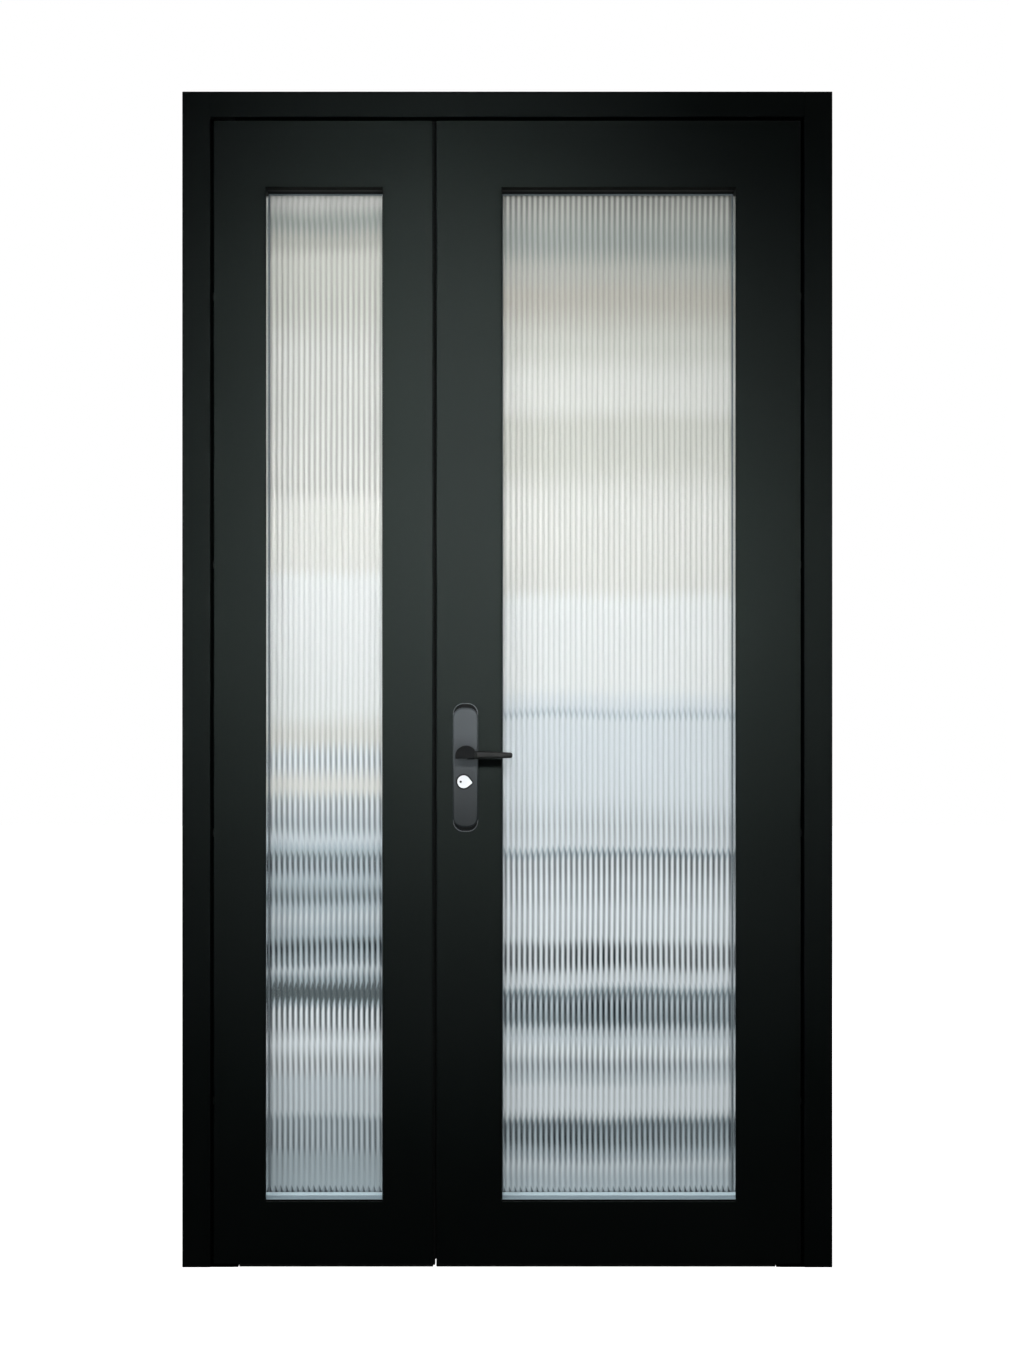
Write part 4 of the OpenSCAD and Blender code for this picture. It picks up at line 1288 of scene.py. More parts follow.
@dataclass
class Leaf:
    """One leaf: folded front pan, back sheet, reeded pane, gaskets, trim and beads."""

    finishes: Finishes
    name: str
    glass: bpy.types.Material
    left: float
    window_left: float
    window_right: float
    right: float
    cut_x: float
    cuts: tuple[tuple[float, float], ...]
    holes: tuple[Hole, ...]
    reed_start: float
    set_back: float = 0.0
    step: tuple[float, float] = (-0.0102, -0.0098)
    cut_half: float = 0.0122
    window_low: float = 0.1216
    window_high: float = 1.993
    fold: float = 0.0013
    rebate: float = 0.020
    glass_front: float = 0.007
    glass_back: float = 0.015
    cover: float = 0.012
    reed_height: float = 0.0015
    reed_steps: int = 10
    gasket_out: float = 0.009
    gasket_in: float = 0.0025
    front_gasket: tuple[float, float] = (SEAT, 0.0069)
    back_gasket: tuple[float, float] = (0.0151, 0.018)
    trim_front: float = FRONT + 0.0015
    trim_back: float = SEAT - 0.0002
    trim_thick: float = 0.0009
    trim_round: float = 0.0002
    sill_high: float = 0.0034
    sill_ledge: float = 0.024
    sill_drop: float = 0.0004
    sill_rise: float = 0.0026
    side_gap: float = 0.0040
    side_tuck: float = 0.0010
    side_slope: float = 0.0120
    bead_front: float = 0.0181
    bead_splay: float = 0.005
    lip_out: float = 0.0225

    @property
    def body(self) -> str:
        """The body that the leaf's pieces move with."""
        return f"{self.name}_leaf"

    def window(self, grow: float = 0.0) -> tuple[Point, Point]:
        """Gives the corners of the window, grown by a margin."""
        return (
            (self.window_left - grow, 0.0, self.window_low - grow),
            (self.window_right + grow, 0.0, self.window_high + grow),
        )

    def on_step(self, edge: bmesh.types.BMEdge) -> bool:
        """Says whether an edge lies on the small step in the wide leaf's meeting edge."""
        return all(self.step[0] - NEAR < v.co.y < self.step[1] + NEAR for v in edge.verts)

    def set_back_edge(self, pan: bpy.types.Object) -> None:
        """Steps the meeting edge of a pan in edit mode back behind its front.

        Args:
            pan: The pan.
        """
        for depth in self.step:
            Bench.pick_all()
            bpy.ops.mesh.bisect(plane_co=Axis.Y.unit(depth), plane_no=Axis.Y.unit())
        Bench.pick(pan, Pick.VERT, lambda v: v.co.x < self.left + NEAR and v.co.y > self.step[1] - NEAR)
        bpy.ops.transform.translate(value=(self.set_back, 0.0, 0.0))

    def pan(self) -> bpy.types.Object:
        """Models the front pan: a sheet folded back at its edges and around the window.

        Returns:
            The pan.
        """
        low, high = self.window()
        start, end = (self.left, FRONT, LEAF_LOW), (self.right, BACK - SHEET, LEAF_HIGH)
        pan = Bench.block(f"{self.name}_pan", start, end)
        with Bench.editing(pan):
            Bench.pick(pan, Pick.FACE, facing(Axis.Y, 1))
            bpy.ops.mesh.delete(type="FACE")
            if self.set_back:
                self.set_back_edge(pan)
            Bench.score(pan, Axis.Y, FRONT, low, high)
            Bench.pick(pan, Pick.FACE, lambda f: facing(Axis.Y, -1)(f) and within(f, Axis.Y, low, high))
            Bench.extrude((0.0, SEAT - FRONT, 0.0))
            bpy.ops.mesh.delete(type="FACE")
            for bottom, top in self.cuts:
                gap_low, gap_high = (0.0, LOCK_Y - self.cut_half, bottom), (0.0, LOCK_Y + self.cut_half, top)
                Bench.score(pan, Axis.X, self.cut_x, gap_low, gap_high)
                Bench.pick(
                    pan,
                    Pick.FACE,
                    lambda f: flat_at(Axis.X, self.cut_x)(f) and within(f, Axis.X, gap_low, gap_high),
                )
                bpy.ops.mesh.delete(type="FACE")
            Bench.pick(pan, Pick.FACE, flat_at(Axis.Z, high[2]))
            Bench.two_finishes(pan, self.finishes.leaf, self.finishes.rubber)
            Bench.round_edges(pan, self.fold, 3, lambda e: sharp(e) and not self.on_step(e))
        Bench.modify(pan, "SOLIDIFY", thickness=SHEET, offset=-1.0, use_even_offset=True)
        Bench.drill(pan, self.holes)
        Bench.smooth(pan)
        return pan

    def back_sheet(self) -> bpy.types.Object:
        """Models the flat sheet on the back, open over the glazing.

        Returns:
            The sheet.
        """
        start = (self.left + self.set_back, BACK - SHEET, LEAF_LOW)
        end = (self.right, BACK, LEAF_HIGH)
        sheet = Bench.ring(f"{self.name}_back_sheet", start, end, *self.window(self.rebate))
        with Bench.editing(sheet):
            Bench.round_edges(sheet, 0.0005, 2, lambda e: sharp(e) and lower_end(e, Axis.Y) > BACK - NEAR)
        Bench.drill(sheet, [hole for hole in self.holes if hole.axis is Axis.Y])
        Bench.smooth(sheet)
        return sheet

    def reed(self, low: float, high: float) -> bpy.types.Object:
        """Models one reed, spun round its axis, with the flat back behind it.

        Args:
            low: Its foot.
            high: Its top.

        Returns:
            The reed, open at its sides and ends.
        """
        chord, rise, begin = REED / 2, self.reed_height, self.reed_start
        radius = (chord * chord + rise * rise) / (2 * rise)
        front = self.glass_front + rise
        reed = Bench.block(f"{self.name}_pane", (begin, front, low), (begin + REED, self.glass_back, high))
        with Bench.editing(reed):
            Bench.pick(reed, Pick.FACE, lambda f: not facing(Axis.Y, 1)(f))
            bpy.ops.mesh.delete(type="ONLY_FACE")
            Bench.pick(
                reed,
                Pick.EDGE,
                lambda e: runs_along(e, Axis.Z) and lies_at(e, Axis.X, begin) and lies_at(e, Axis.Y, front),
            )
            bpy.ops.mesh.spin(
                steps=self.reed_steps,
                angle=-2 * math.asin(chord / radius),
                center=(begin + chord, self.glass_front + radius, 0.0),
                axis=(0.0, 0.0, 1.0),
            )
            Bench.pick_all()
            bpy.ops.mesh.remove_doubles(threshold=0.00002)
            Bench.pick(reed, Pick.EDGE, lambda e: len(e.link_faces) == 0)
            bpy.ops.mesh.delete(type="EDGE")
        return reed

    def pane(self) -> bpy.types.Object:
        """Models the pane: one reed, repeated and cut to size.

        Returns:
            The pane.
        """
        low, high = self.window(self.cover)
        over = 0.004
        pane = self.reed(low[2] - over, high[2] + over)
        Bench.modify(
            pane,
            "ARRAY",
            count=math.ceil((high[0] - self.reed_start) / REED),
            use_relative_offset=False,
            use_constant_offset=True,
            constant_offset_displace=(REED, 0.0, 0.0),
            use_merge_vertices=True,
            merge_threshold=0.00002,
        )
        with Bench.editing(pane):
            for axis in (Axis.X, Axis.Z):
                for corner, outward in ((low, -1), (high, 1)):
                    Bench.pick_all()
                    bpy.ops.mesh.bisect(
                        plane_co=axis.unit(corner[axis.value]),
                        plane_no=axis.unit(outward),
                        clear_outer=True,
                        use_fill=True,
                    )
        Bench.face_outwards(pane)
        Bench.smooth(pane, 24.0, flat=False)
        return pane

    def gaskets(self) -> bpy.types.Object:
        """Models the rubber rings in front of and behind the glass, with round lips.

        Returns:
            Both rings as one piece.
        """
        low, high = self.window(self.gasket_out)
        gap_low, gap_high = self.window(-self.gasket_in)
        rings = []
        for label, (near, far) in (("front", self.front_gasket), ("back", self.back_gasket)):
            start, end = (low[0], near, low[2]), (high[0], far, high[2])
            ring = Bench.ring(f"{self.name}_{label}_gasket", start, end, gap_low, gap_high)
            with Bench.editing(ring):
                Bench.round_edges(ring, 0.0009, 3, lambda e: sharp(e) and on_rim(e, gap_low, gap_high))
            rings.append(ring)
        both = Bench.join(rings, f"{self.name}_gasket_rings")
        Bench.smooth(both)
        return both

    def sill_strip(self) -> bpy.types.Object:
        """Models the pale strip on the sill, with a dull ledge before it and a rise towards the glass.

        Returns:
            The strip.
        """
        low, high = self.window()
        near, far, top = self.trim_front, self.trim_back, low[2] + self.sill_high
        half = near + self.sill_ledge
        strip = Bench.block(f"{self.name}_trim_sill", (low[0], near, low[2]), (high[0], far, top))
        with Bench.editing(strip):
            Bench.pick(strip, Pick.FACE, flat_at(Axis.Z, top))
            bpy.ops.mesh.bisect(plane_co=Axis.Y.unit(half), plane_no=Axis.Y.unit())
            Bench.pick(strip, Pick.FACE, lambda f: facing(Axis.Z, 1)(f) and f.calc_center_median().y < half)
            Bench.extrude((0.0, 0.0, -self.sill_drop))
            Bench.two_finishes(strip, self.finishes.trim, self.finishes.dull)
            Bench.pick(strip, Pick.FACE, facing(Axis.Y, -1))
            Bench.paint_picked(strip, self.finishes.rubber)
            Bench.pick(strip, Pick.VERT, lambda v: v.co.y > far - NEAR and v.co.z > top - NEAR)
            bpy.ops.transform.translate(value=(0.0, 0.0, self.sill_rise))
            Bench.round_edges(strip, self.trim_round, 2, sharp)
        return strip

    def side_strip(self, label: str, left: float) -> bpy.types.Object:
        """Models a polished strip at one side of the window, with a black front edge.

        Args:
            label: Which side it is.
            left: Where its left face lies.

        Returns:
            The strip.
        """
        bottom, top = self.window_low + self.sill_high, self.window_high - self.side_gap
        near, far = self.trim_front, self.trim_back
        start, end = (left, near, bottom), (left + self.trim_thick, far, top)
        strip = Bench.block(f"{self.name}_trim_{label}", start, end)
        with Bench.editing(strip):
            Bench.pick(strip, Pick.FACE, flat_at(Axis.Y, far))
            Bench.extrude((0.0, -self.side_tuck, 0.0))
            Bench.pick(strip, Pick.VERT, lambda v: v.co.y < near + NEAR and v.co.z > top - NEAR)
            bpy.ops.transform.translate(value=(0.0, 0.0, -self.side_slope))
            Bench.pick(strip, Pick.FACE, facing(Axis.Y, -1))
            Bench.two_finishes(strip, self.finishes.polished, self.finishes.rubber)
            Bench.round_edges(strip, self.trim_round, 2, sharp)
        return strip

    def top_shade_strip(self) -> bpy.types.Object:
        """Models the black strip under the top of the window, a dark sheet put there as painted shade.

        Returns:
            The strip.
        """
        low, high = self.window()
        strip = Bench.block(
            f"{self.name}_trim_top",
            (low[0] + 0.001, self.trim_front + 0.010, high[2] - self.trim_thick),
            (high[0] - 0.001, self.trim_front + 0.021, high[2]),
        )
        # Painted shade: a black sheet where the window's top lies in shade.
        strip.data.materials.append(self.finishes.bezel)
        with Bench.editing(strip):
            Bench.round_edges(strip, self.trim_round, 2, sharp)
        return strip

    def trim(self) -> bpy.types.Object:
        """Models the trim that lines the window.

        Returns:
            The four strips as one piece.
        """
        strips = [
            self.sill_strip(),
            self.side_strip("left", self.window_left),
            self.side_strip("right", self.window_right - self.trim_thick),
            self.top_shade_strip(),
        ]
        piece = Bench.join(strips, f"{self.name}_trim")
        Bench.smooth(piece)
        return piece

    def floor_lip(self) -> bpy.types.Object:
        """Models the floor seal as a soft lip that reaches forward under the leaf's front.

        Returns:
            The lip.
        """
        low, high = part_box(f"{self.name}_floor_seal")
        left = max(low[0], self.left) if self.set_back else low[0] - self.lip_out
        right = high[0] + self.lip_out if self.set_back else high[0]
        lip = Bench.block(f"{self.name}_floor_lip", (left, low[1], low[2]), (right, high[1], high[2]))
        with Bench.editing(lip):
            Bench.pick(lip, Pick.FACE, facing(Axis.Y, -1))
            Bench.extrude((0.0, FRONT + 0.0006 - low[1], 0.0))
            Bench.round_edges(lip, 0.0006, 2, lambda e: sharp(e) and runs_along(e, Axis.X))
        Bench.smooth(lip)
        return lip

    def bead(self, label: str, low: Point, high: Point, inner: Axis, sign: int) -> bpy.types.Object:
        """Models one glazing bead, splayed towards the glass.

        Args:
            label: Which bead it is.
            low: Its lowest corner.
            high: Its highest corner.
            inner: The axis along which it looks at the window.
            sign: The way that it looks.

        Returns:
            The bead.
        """
        bead = Bench.block(f"{self.name}_bead_{label}", low, high)
        place = (high if sign > 0 else low)[inner.value]
        with Bench.editing(bead):
            Bench.round_edges(
                bead,
                self.bead_splay,
                1,
                lambda e: lies_at(e, inner, place) and lower_end(e, Axis.Y) > BACK - NEAR,
            )
            Bench.round_edges(bead, 0.0008, 2, sharp)
        Bench.smooth(bead)
        return bead

    def beads(self) -> dict[str, bpy.types.Object]:
        """Models the four beads behind the glass.

        Returns:
            The side beads and the cross beads, by the end of their nodes' names.
        """
        low, high = self.window()
        out = self.rebate - NEAR
        near, bottom, top = self.bead_front, low[2] - out, high[2] + out
        left = self.bead("left", (low[0] - out, near, bottom), (low[0], BACK, top), Axis.X, 1)
        right = self.bead("right", (high[0], near, bottom), (high[0] + out, BACK, top), Axis.X, -1)
        under = self.bead("under", (low[0], near, bottom), (high[0], BACK, low[2]), Axis.Z, 1)
        over = self.bead("over", (low[0], near, high[2]), (high[0], BACK, top), Axis.Z, -1)
        return {
            "side_beads": Bench.join([left, right], f"{self.name}_side_bead_pair"),
            "cross_beads": Bench.join([under, over], f"{self.name}_cross_bead_pair"),
        }

    def bead_screws(self) -> list[Point]:
        """Gives the places of the screws that hold the beads.

        Returns:
            The places, the side beads' first.
        """
        low, high = self.window()
        side, end, corner, rows = self.rebate - 0.007, 0.06, 0.05, 7
        width, height = high[0] - low[0], high[2] - low[2]
        across = 2 if width < 0.3 else 3
        heights = [low[2] + end + i * (height - 2 * end) / (rows - 1) for i in range(rows)]
        places = [low[0] + corner + i * (width - 2 * corner) / (across - 1) for i in range(across)]
        spots = [(x, BACK, z) for x in (low[0] - side, high[0] + side) for z in heights]
        return spots + [(x, BACK, z) for z in (low[2] - side, high[2] + side) for x in places]

    def build(self) -> None:
        """Models and dresses the leaf."""
        paint = self.finishes.leaf
        dress(self.pan(), paint, self.body, [f"{self.name}_front_skin"])
        dress(self.back_sheet(), paint, self.body, [f"{self.name}_back_skin"])
        dress(self.pane(), self.glass, self.body, [f"{self.name}_glass"])
        dress(self.gaskets(), self.finishes.gasket, self.body, [f"{self.name}_gaskets"])
        dress(self.trim(), self.finishes.trim, self.body)
        dress(self.floor_lip(), self.finishes.rubber, self.body, [f"{self.name}_floor_seal"])
        for ending, piece in self.beads().items():
            dress(piece, paint, self.body, [f"{self.name}_{ending}"])


@dataclass
class LeverSet:
    """The handle plates with their levers, the key cover and the thumb turn."""

    finishes: Finishes
    plate_width: float = 0.046
    plate_height: float = 0.237
    corner: float = 0.019
    corner_steps: int = 14
    soft_turn: float = 0.35
    rim: float = 0.0035
    rise: float = 0.005
    side: float = -0.0004
    lip: float = 0.0014
    groove: float = 0.0016
    rim_end: float = 0.0085
    lever_hole: float = 0.00905
    key_hole: float = 0.00855
    screw_hole: float = 0.0046
    lever_front: float = -0.100
    lever_start: float = 0.004
    lever_length: float = 0.086
    grip: float = 0.016
    root: float = 0.0195
    over: float = 0.014
    under: float = 0.0115
    drop_x: float = -0.0032
    drop_z: float = 0.0015
    rivet_x: float = 0.0102
    rivet_radius: float = 0.00125
    cover_depth: tuple[float, float] = (-0.0438, -0.0462)
    bezel_depth: tuple[float, float] = (-0.04345, -0.0437)

    def plate(self) -> bpy.types.Object:
        """Models the outer plate: a round-ended rim with a raised face, and a groove between them painted
        black as painted shade.

        Returns:
            The plate.
        """
        half, tall = self.plate_width / 2, self.plate_height / 2
        front = FRONT - self.rim
        plate = Bench.block(
            "outer_handle_plate",
            (LOCK_X - half, front, PLATE_Z - tall),
            (LOCK_X + half, FRONT, PLATE_Z + tall),
        )
        with Bench.editing(plate):
            Bench.round_edges(plate, self.corner, self.corner_steps, lambda e: runs_along(e, Axis.Y))
            Bench.pick(plate, Pick.FACE, facing(Axis.Y, -1))
            bpy.ops.mesh.inset(thickness=self.lip)
            Bench.extrude((0.0, self.groove, 0.0))
            Bench.pick_all()
            Bench.two_finishes(plate, self.finishes.plate, self.finishes.rim)
            # Painted shade: the groove's floor takes the black finish, standing in for the shade in it.
            Bench.pick(plate, Pick.FACE, lambda f: abs(f.calc_center_median().y - front - self.groove) < NEAR)
            Bench.paint_picked(plate, self.finishes.bezel)
            Bench.round_edges(
                plate, 0.0006, 3, lambda e: sharp(e, self.soft_turn) and lies_at(e, Axis.Y, front)
            )
        edge, long = front - self.rise, tall - self.rim_end
        face = Bench.block(
            "plate_face",
            (LOCK_X - half + self.side, edge, PLATE_Z - long),
            (LOCK_X + half - self.side, FRONT - 0.0008, PLATE_Z + long),
        )
        with Bench.editing(face):
            Bench.round_edges(face, self.corner, self.corner_steps, lambda e: runs_along(e, Axis.Y))
            Bench.round_edges(
                face, 0.0034, 5, lambda e: sharp(e, self.soft_turn) and lies_at(e, Axis.Y, edge)
            )
        face.data.materials.append(self.finishes.plate)
        Bench.combine(plate, face, "UNION")
        holes = ((HANDLE_Z, self.lever_hole), (KEY_Z, self.key_hole))
        Bench.drill(plate, [Hole(Axis.Y, (LOCK_X, -0.04, z), radius) for z, radius in holes])
        Bench.smooth(plate)
        return plate

    def lever_root(self, middle: Point) -> bpy.types.Object:
        """Models the round root of the outer lever, with a flat underside.

        Args:
            middle: The middle of the round.

        Returns:
            The root.
        """
        root = Bench.rod("lever_root", Hole(Axis.Y, middle, self.root, 0.016), 96)
        with Bench.editing(root):
            Bench.pick_all()
            bpy.ops.mesh.bisect(
                plane_co=(0.0, 0.0, HANDLE_Z - self.under + 0.0018),
                plane_no=(0.0, 0.0, -1.0),
                clear_outer=True,
                use_fill=True,
            )
            front = self.lever_front + 0.0015
            Bench.round_edges(root, 0.0055, 5, lambda e: sharp(e) and upper_end(e, Axis.Y) < front)
        return root

    def lever_bar(self) -> bpy.types.Object:
        """Models the tapering grip of the outer lever.

        Returns:
            The grip.
        """
        front, start, end = self.lever_front, LOCK_X + self.lever_start, LOCK_X + self.lever_length
        bar = Bench.block(
            "lever_bar",
            (start, front + 0.0014, HANDLE_Z - self.under),
            (end, front + self.grip, HANDLE_Z + 0.0048),
        )
        with Bench.editing(bar):
            Bench.pick(bar, Pick.FACE, facing(Axis.X, 1))
            bpy.ops.transform.resize(
                value=(1.0, 0.72, 0.58), center_override=(end, front + 0.0085, HANDLE_Z - 0.0045)
            )
            Bench.round_edges(bar, 0.0032, 5, lambda e: sharp(e) and not lies_at(e, Axis.X, start))
        return bar

    def lever(self) -> bpy.types.Object:
        """Models the outer lever: a round root with a flat underside, a tapering grip and a neck, with
        painted shade on the root beside the grip.

        Returns:
            The lever.
        """
        middle = (LOCK_X + 0.0015, self.lever_front + 0.009, HANDLE_Z + self.over - self.root)
        root, bar = self.lever_root(middle), self.lever_bar()
        neck = Bench.rod("lever_neck", Hole(Axis.Y, (LOCK_X, -0.0625, HANDLE_Z), 0.009, 0.055), 64)
        lever = Bench.join([root, bar, neck], "outer_lever_body")
        Bench.modify(lever, "REMESH", mode="VOXEL", voxel_size=0.0006)
        Bench.modify(lever, "SMOOTH", factor=0.5, iterations=6)
        with Bench.editing(lever):
            # Painted shade: the root beside the grip takes the black finish.
            Bench.pick(lever, Pick.FACE, lambda f: self.in_painted_fold_shade(f, Vector(middle)))
            Bench.two_finishes(lever, self.finishes.lever, self.finishes.bezel)
        Bench.smooth(lever, 180.0, flat=False)
        return lever

    def in_painted_fold_shade(self, face: bmesh.types.BMFace, middle: Vector) -> bool:
        """Says whether a face lies on the root of the lever beside the grip, which is painted black as
        painted shade.

        Args:
            face: The face.
            middle: The middle of the root.

        Returns:
            Whether it lies there.
        """
        spot = face.calc_center_median() - middle
        beside = spot.x < 0.0160 or spot.z > 0.0105
        return spot.y < 0.002 and beside and math.hypot(spot.x, spot.z) < self.root * 1.02

    def drop(self, name: str, depth: tuple[float, float], round_end: float, tip: float) -> bpy.types.Object:
        """Models a drop: a large round and a small one at the rivet, in one smooth outline.

        Args:
            name: The piece's name.
            depth: Where its back and its front lie.
            round_end: The large round's radius.
            tip: The small round's radius.

        Returns:
            The drop.
        """
        near, far = depth
        middle, thick = (near + far) / 2, near - far
        big = Hole(Axis.Y, (LOCK_X + self.drop_x, middle, KEY_Z + self.drop_z), round_end, thick)
        small = Hole(Axis.Y, (LOCK_X + self.rivet_x, middle, KEY_Z), tip, thick)
        drop = Bench.join([Bench.rod(f"{name}_round", big, 72), Bench.rod(f"{name}_tip", small, 32)], name)
        with Bench.editing(drop):
            Bench.pick_all()
            bpy.ops.mesh.convex_hull()
        return drop

    def rivet_hole(self, depth: float) -> Hole:
        """Gives the hole for the key cover's rivet at one depth."""
        return Hole(Axis.Y, (LOCK_X + self.rivet_x, depth, KEY_Z), self.rivet_radius, 0.01)

    def key_cover(self) -> bpy.types.Object:
        """Models the polished drop-shaped cover with a round front edge and a small finger dimple, whose
        inside is painted black as painted shade.

        Returns:
            The cover.
        """
        far = self.cover_depth[1]
        cover = self.drop("key_cover_drop", self.cover_depth, 0.0117, 0.0021)
        with Bench.editing(cover):
            Bench.round_edges(cover, 0.0009, 4, lambda e: sharp(e) and lies_at(e, Axis.Y, far))
        dimple = Hole(Axis.Y, (LOCK_X - 0.0088, far - 0.0006, KEY_Z + self.drop_z), 0.0022, 0.0030)
        Bench.drill(cover, [dimple, self.rivet_hole(-0.045)], 32)
        with Bench.editing(cover):
            # Painted shade: the dimple's inside takes the black finish.
            Bench.pick(cover, Pick.FACE, lambda f: in_hole(f, dimple))
            Bench.two_finishes(cover, self.finishes.chrome, self.finishes.bezel)
        Bench.smooth(cover, 40.0)
        return cover

    def bezel(self) -> bpy.types.Object:
        """Models the thin black bezel on the plate around the cover; its black is partly a real bezel and
        partly painted shade round the cover.

        Returns:
            The bezel.
        """
        bezel = self.drop("key_bezel", self.bezel_depth, 0.0145, 0.0046)
        with Bench.editing(bezel):
            Bench.pick_all()
            bpy.ops.mesh.dissolve_limited(angle_limit=0.01)
        Bench.drill(bezel, [Hole(Axis.Y, (LOCK_X, -0.0436, KEY_Z), 0.0086, 0.01), self.rivet_hole(-0.0436)])
        Bench.smooth(bezel)
        return bezel

    def thumb_turn(self) -> bpy.types.Object:
        """Models the thumb turn on the inside: a round rose with a tapering grip.

        Returns:
            The thumb turn.
        """
        near, far, half, tall = 0.047, 0.0655, 0.003, 0.0125
        rose = Bench.rod("turn_rose", Hole(Axis.Y, (LOCK_X, 0.0456, KEY_Z), 0.014, 0.0035), 64)
        with Bench.editing(rose):
            Bench.round_edges(rose, 0.001, 3, lambda e: sharp(e) and lower_end(e, Axis.Y) > near)
        grip = Bench.block(
            "turn_grip", (LOCK_X - half, near, KEY_Z - tall), (LOCK_X + half, far, KEY_Z + tall)
        )
        with Bench.editing(grip):
            Bench.pick(grip, Pick.FACE, facing(Axis.Y, 1))
            bpy.ops.transform.resize(value=(0.75, 1.0, 1.1), center_override=(LOCK_X, far, KEY_Z))
            Bench.round_edges(grip, 0.0012, 3, sharp)
        stem = Bench.rod("turn_stem", Hole(Axis.Y, (LOCK_X, 0.022, KEY_Z), 0.0055, 0.044), 40)
        turn = Bench.join([rose, grip, stem], "thumb_turn_knob")
        Bench.smooth(turn)
        return turn

    def build(self) -> None:
        """Models and dresses both sides of the handle."""
        outer = self.plate()
        inner = Bench.mirror(outer, "inner_handle_plate", Axis.Y)
        heads = [
            Hole(Axis.Y, (LOCK_X, 0.0436, PLATE_Z + s * PLATE_SCREW), self.screw_hole, 0.010) for s in (-1, 1)
        ]
        Bench.drill(inner, heads)
        Bench.smooth(inner)
        dress(outer, self.finishes.plate, "active_leaf", ["outer_plate"])
        dress(inner, self.finishes.plate, "active_leaf", ["inner_plate"])
        lever = self.lever()
        twin = Bench.mirror(lever, "inner_lever_body", Axis.Y)
        Bench.smooth(twin, 180.0, flat=False)
        dress(lever, self.finishes.lever, "handle", ["outer_lever"])
        dress(twin, self.finishes.lever, "handle", ["inner_lever"])
        dress(self.key_cover(), self.finishes.chrome, "key_cover", ["key_cover"])
        dress(self.bezel(), self.finishes.bezel, "active_leaf")
        dress(self.thumb_turn(), self.finishes.plate, "key_cylinder", ["thumb_turn"])


@dataclass
class SmallParts:
    """Screws, the seal between the leaves and the finishes of the hardware."""

    finishes: Finishes
    seal_front: float = -0.029
    seal_back: float = -0.013
    seal_low: float = 0.0135
    seal_nose: float = -0.13135
    foot_low: float = 0.0025
    foot_edge: float = -0.1335
    guide_heights: tuple[float, float] = (0.176, 1.946)
    guide_screw: float = 0.070

    def screw(self) -> bpy.types.Object:
        """Models one raised countersunk screw head with a cross recess, looking along Y.

        Returns:
            The screw head, at the origin.
        """
        head = Bench.rod("screw_head", Hole(Axis.Y, (0.0, 0.0, 0.0), 0.0036, 0.0008), 24)
        with Bench.editing(head):
            Bench.pick(head, Pick.FACE, facing(Axis.Y, 1))
            bpy.ops.mesh.inset(thickness=0.0009, depth=0.0003)
        for wide, tall in ((0.0007, 0.0024), (0.0024, 0.0007)):
            bit = Bench.block("cross_bit", (-wide / 2, 0.0002, -tall / 2), (wide / 2, 0.002, tall / 2))
            Bench.combine(head, bit, "DIFFERENCE")
        return head

    def screws(self, name: str, spots: Sequence[Point], turn: float) -> bpy.types.Object:
        """Copies the screw head to each place.

        Args:
            name: The piece's name.
            spots: Where the heads sit.
            turn: How far they are turned about Z.

        Returns:
            All heads as one piece.
        """
        first = self.screw()
        with Bench.editing(first):
            Bench.pick_all()
            bpy.ops.transform.rotate(value=turn, orient_axis="Z", center_override=(0.0, 0.0, 0.0))
        heads = [Bench.copy(first, name, spot) for spot in spots]
        bpy.data.objects.remove(first, do_unlink=True)
        piece = Bench.join(heads, name)
        Bench.smooth(piece)
        return piece

    def meeting_seal(self) -> bpy.types.Object:
        """Models the round-nosed seal between the leaves, with a narrower foot.

        Returns:
            The seal.
        """
        start = (NARROW_EDGE, self.seal_front, self.seal_low)
        seal = Bench.block("meeting_seal_strip", start, (self.seal_nose, self.seal_back, LEAF_HIGH))
        with Bench.editing(seal):
            Bench.round_edges(
                seal, 0.0026, 4, lambda e: runs_along(e, Axis.Z) and not lies_at(e, Axis.X, NARROW_EDGE)
            )
        start = (NARROW_EDGE, self.seal_front, self.foot_low)
        foot = Bench.block("seal_foot", start, (self.foot_edge, self.seal_back, self.seal_low))
        seal = Bench.join([seal, foot], "meeting_seal_strip")
        Bench.smooth(seal)
        return seal

    def build(self, leaves: Sequence[Leaf]) -> None:
        """Models the small parts and gives every node that still shows its finish.

        Args:
            leaves: The leaves, whose beads are screwed.
        """
        f = self.finishes
        dress(self.meeting_seal(), f.rubber, "inactive_leaf", ["meeting_seal"])
        for leaf in leaves:
            screws = self.screws(f"{leaf.name}_bead_screws", leaf.bead_screws(), 0.0)
            dress(screws, f.dark_steel, leaf.body)
        heights = [PLATE_Z + s * LOCK_SCREW for s in (-1, 1)]
        lock = [(LOCK_EDGE, LOCK_Y, z) for z in heights]
        dress(self.screws("lock_face_screws", lock, -math.pi / 2), f.steel, "active_leaf")
        heights += [z + s * self.guide_screw for z in self.guide_heights for s in (-1, 1)]
        edge = [(NARROW_EDGE, LOCK_Y, z) for z in heights]
        dress(self.screws("strike_screws", edge, math.pi / 2), f.steel, "inactive_leaf")
        finish_of = {
            "pivot": f.dark_steel,
            "sleeves": f.steel,
            "keep": f.steel,
            "stile": f.inside,
            "rail": f.inside,
            "strike_box": f.inside,
            "strike_plate": f.steel,
            "bolt_guide": f.steel,
            "bolt_rod": f.steel,
            "lock_case": f.steel,
            "latch_bolt": f.steel,
            "dead_bolt": f.steel,
            "spindle": f.steel,
            "plate_screws": f.dark_steel,
            "cover_rivet": f.chrome,
            "cylinder_housing": f.nickel,
            "key_plug": f.nickel,
        }
        for name, node in frame["nodes"].items():
            for part, finish in finish_of.items():
                if part in name and not node.hide_render:
                    for place in node.material_slots:
                        place.material = finish
                    LOG.info("%s: %s", name, finish.name)


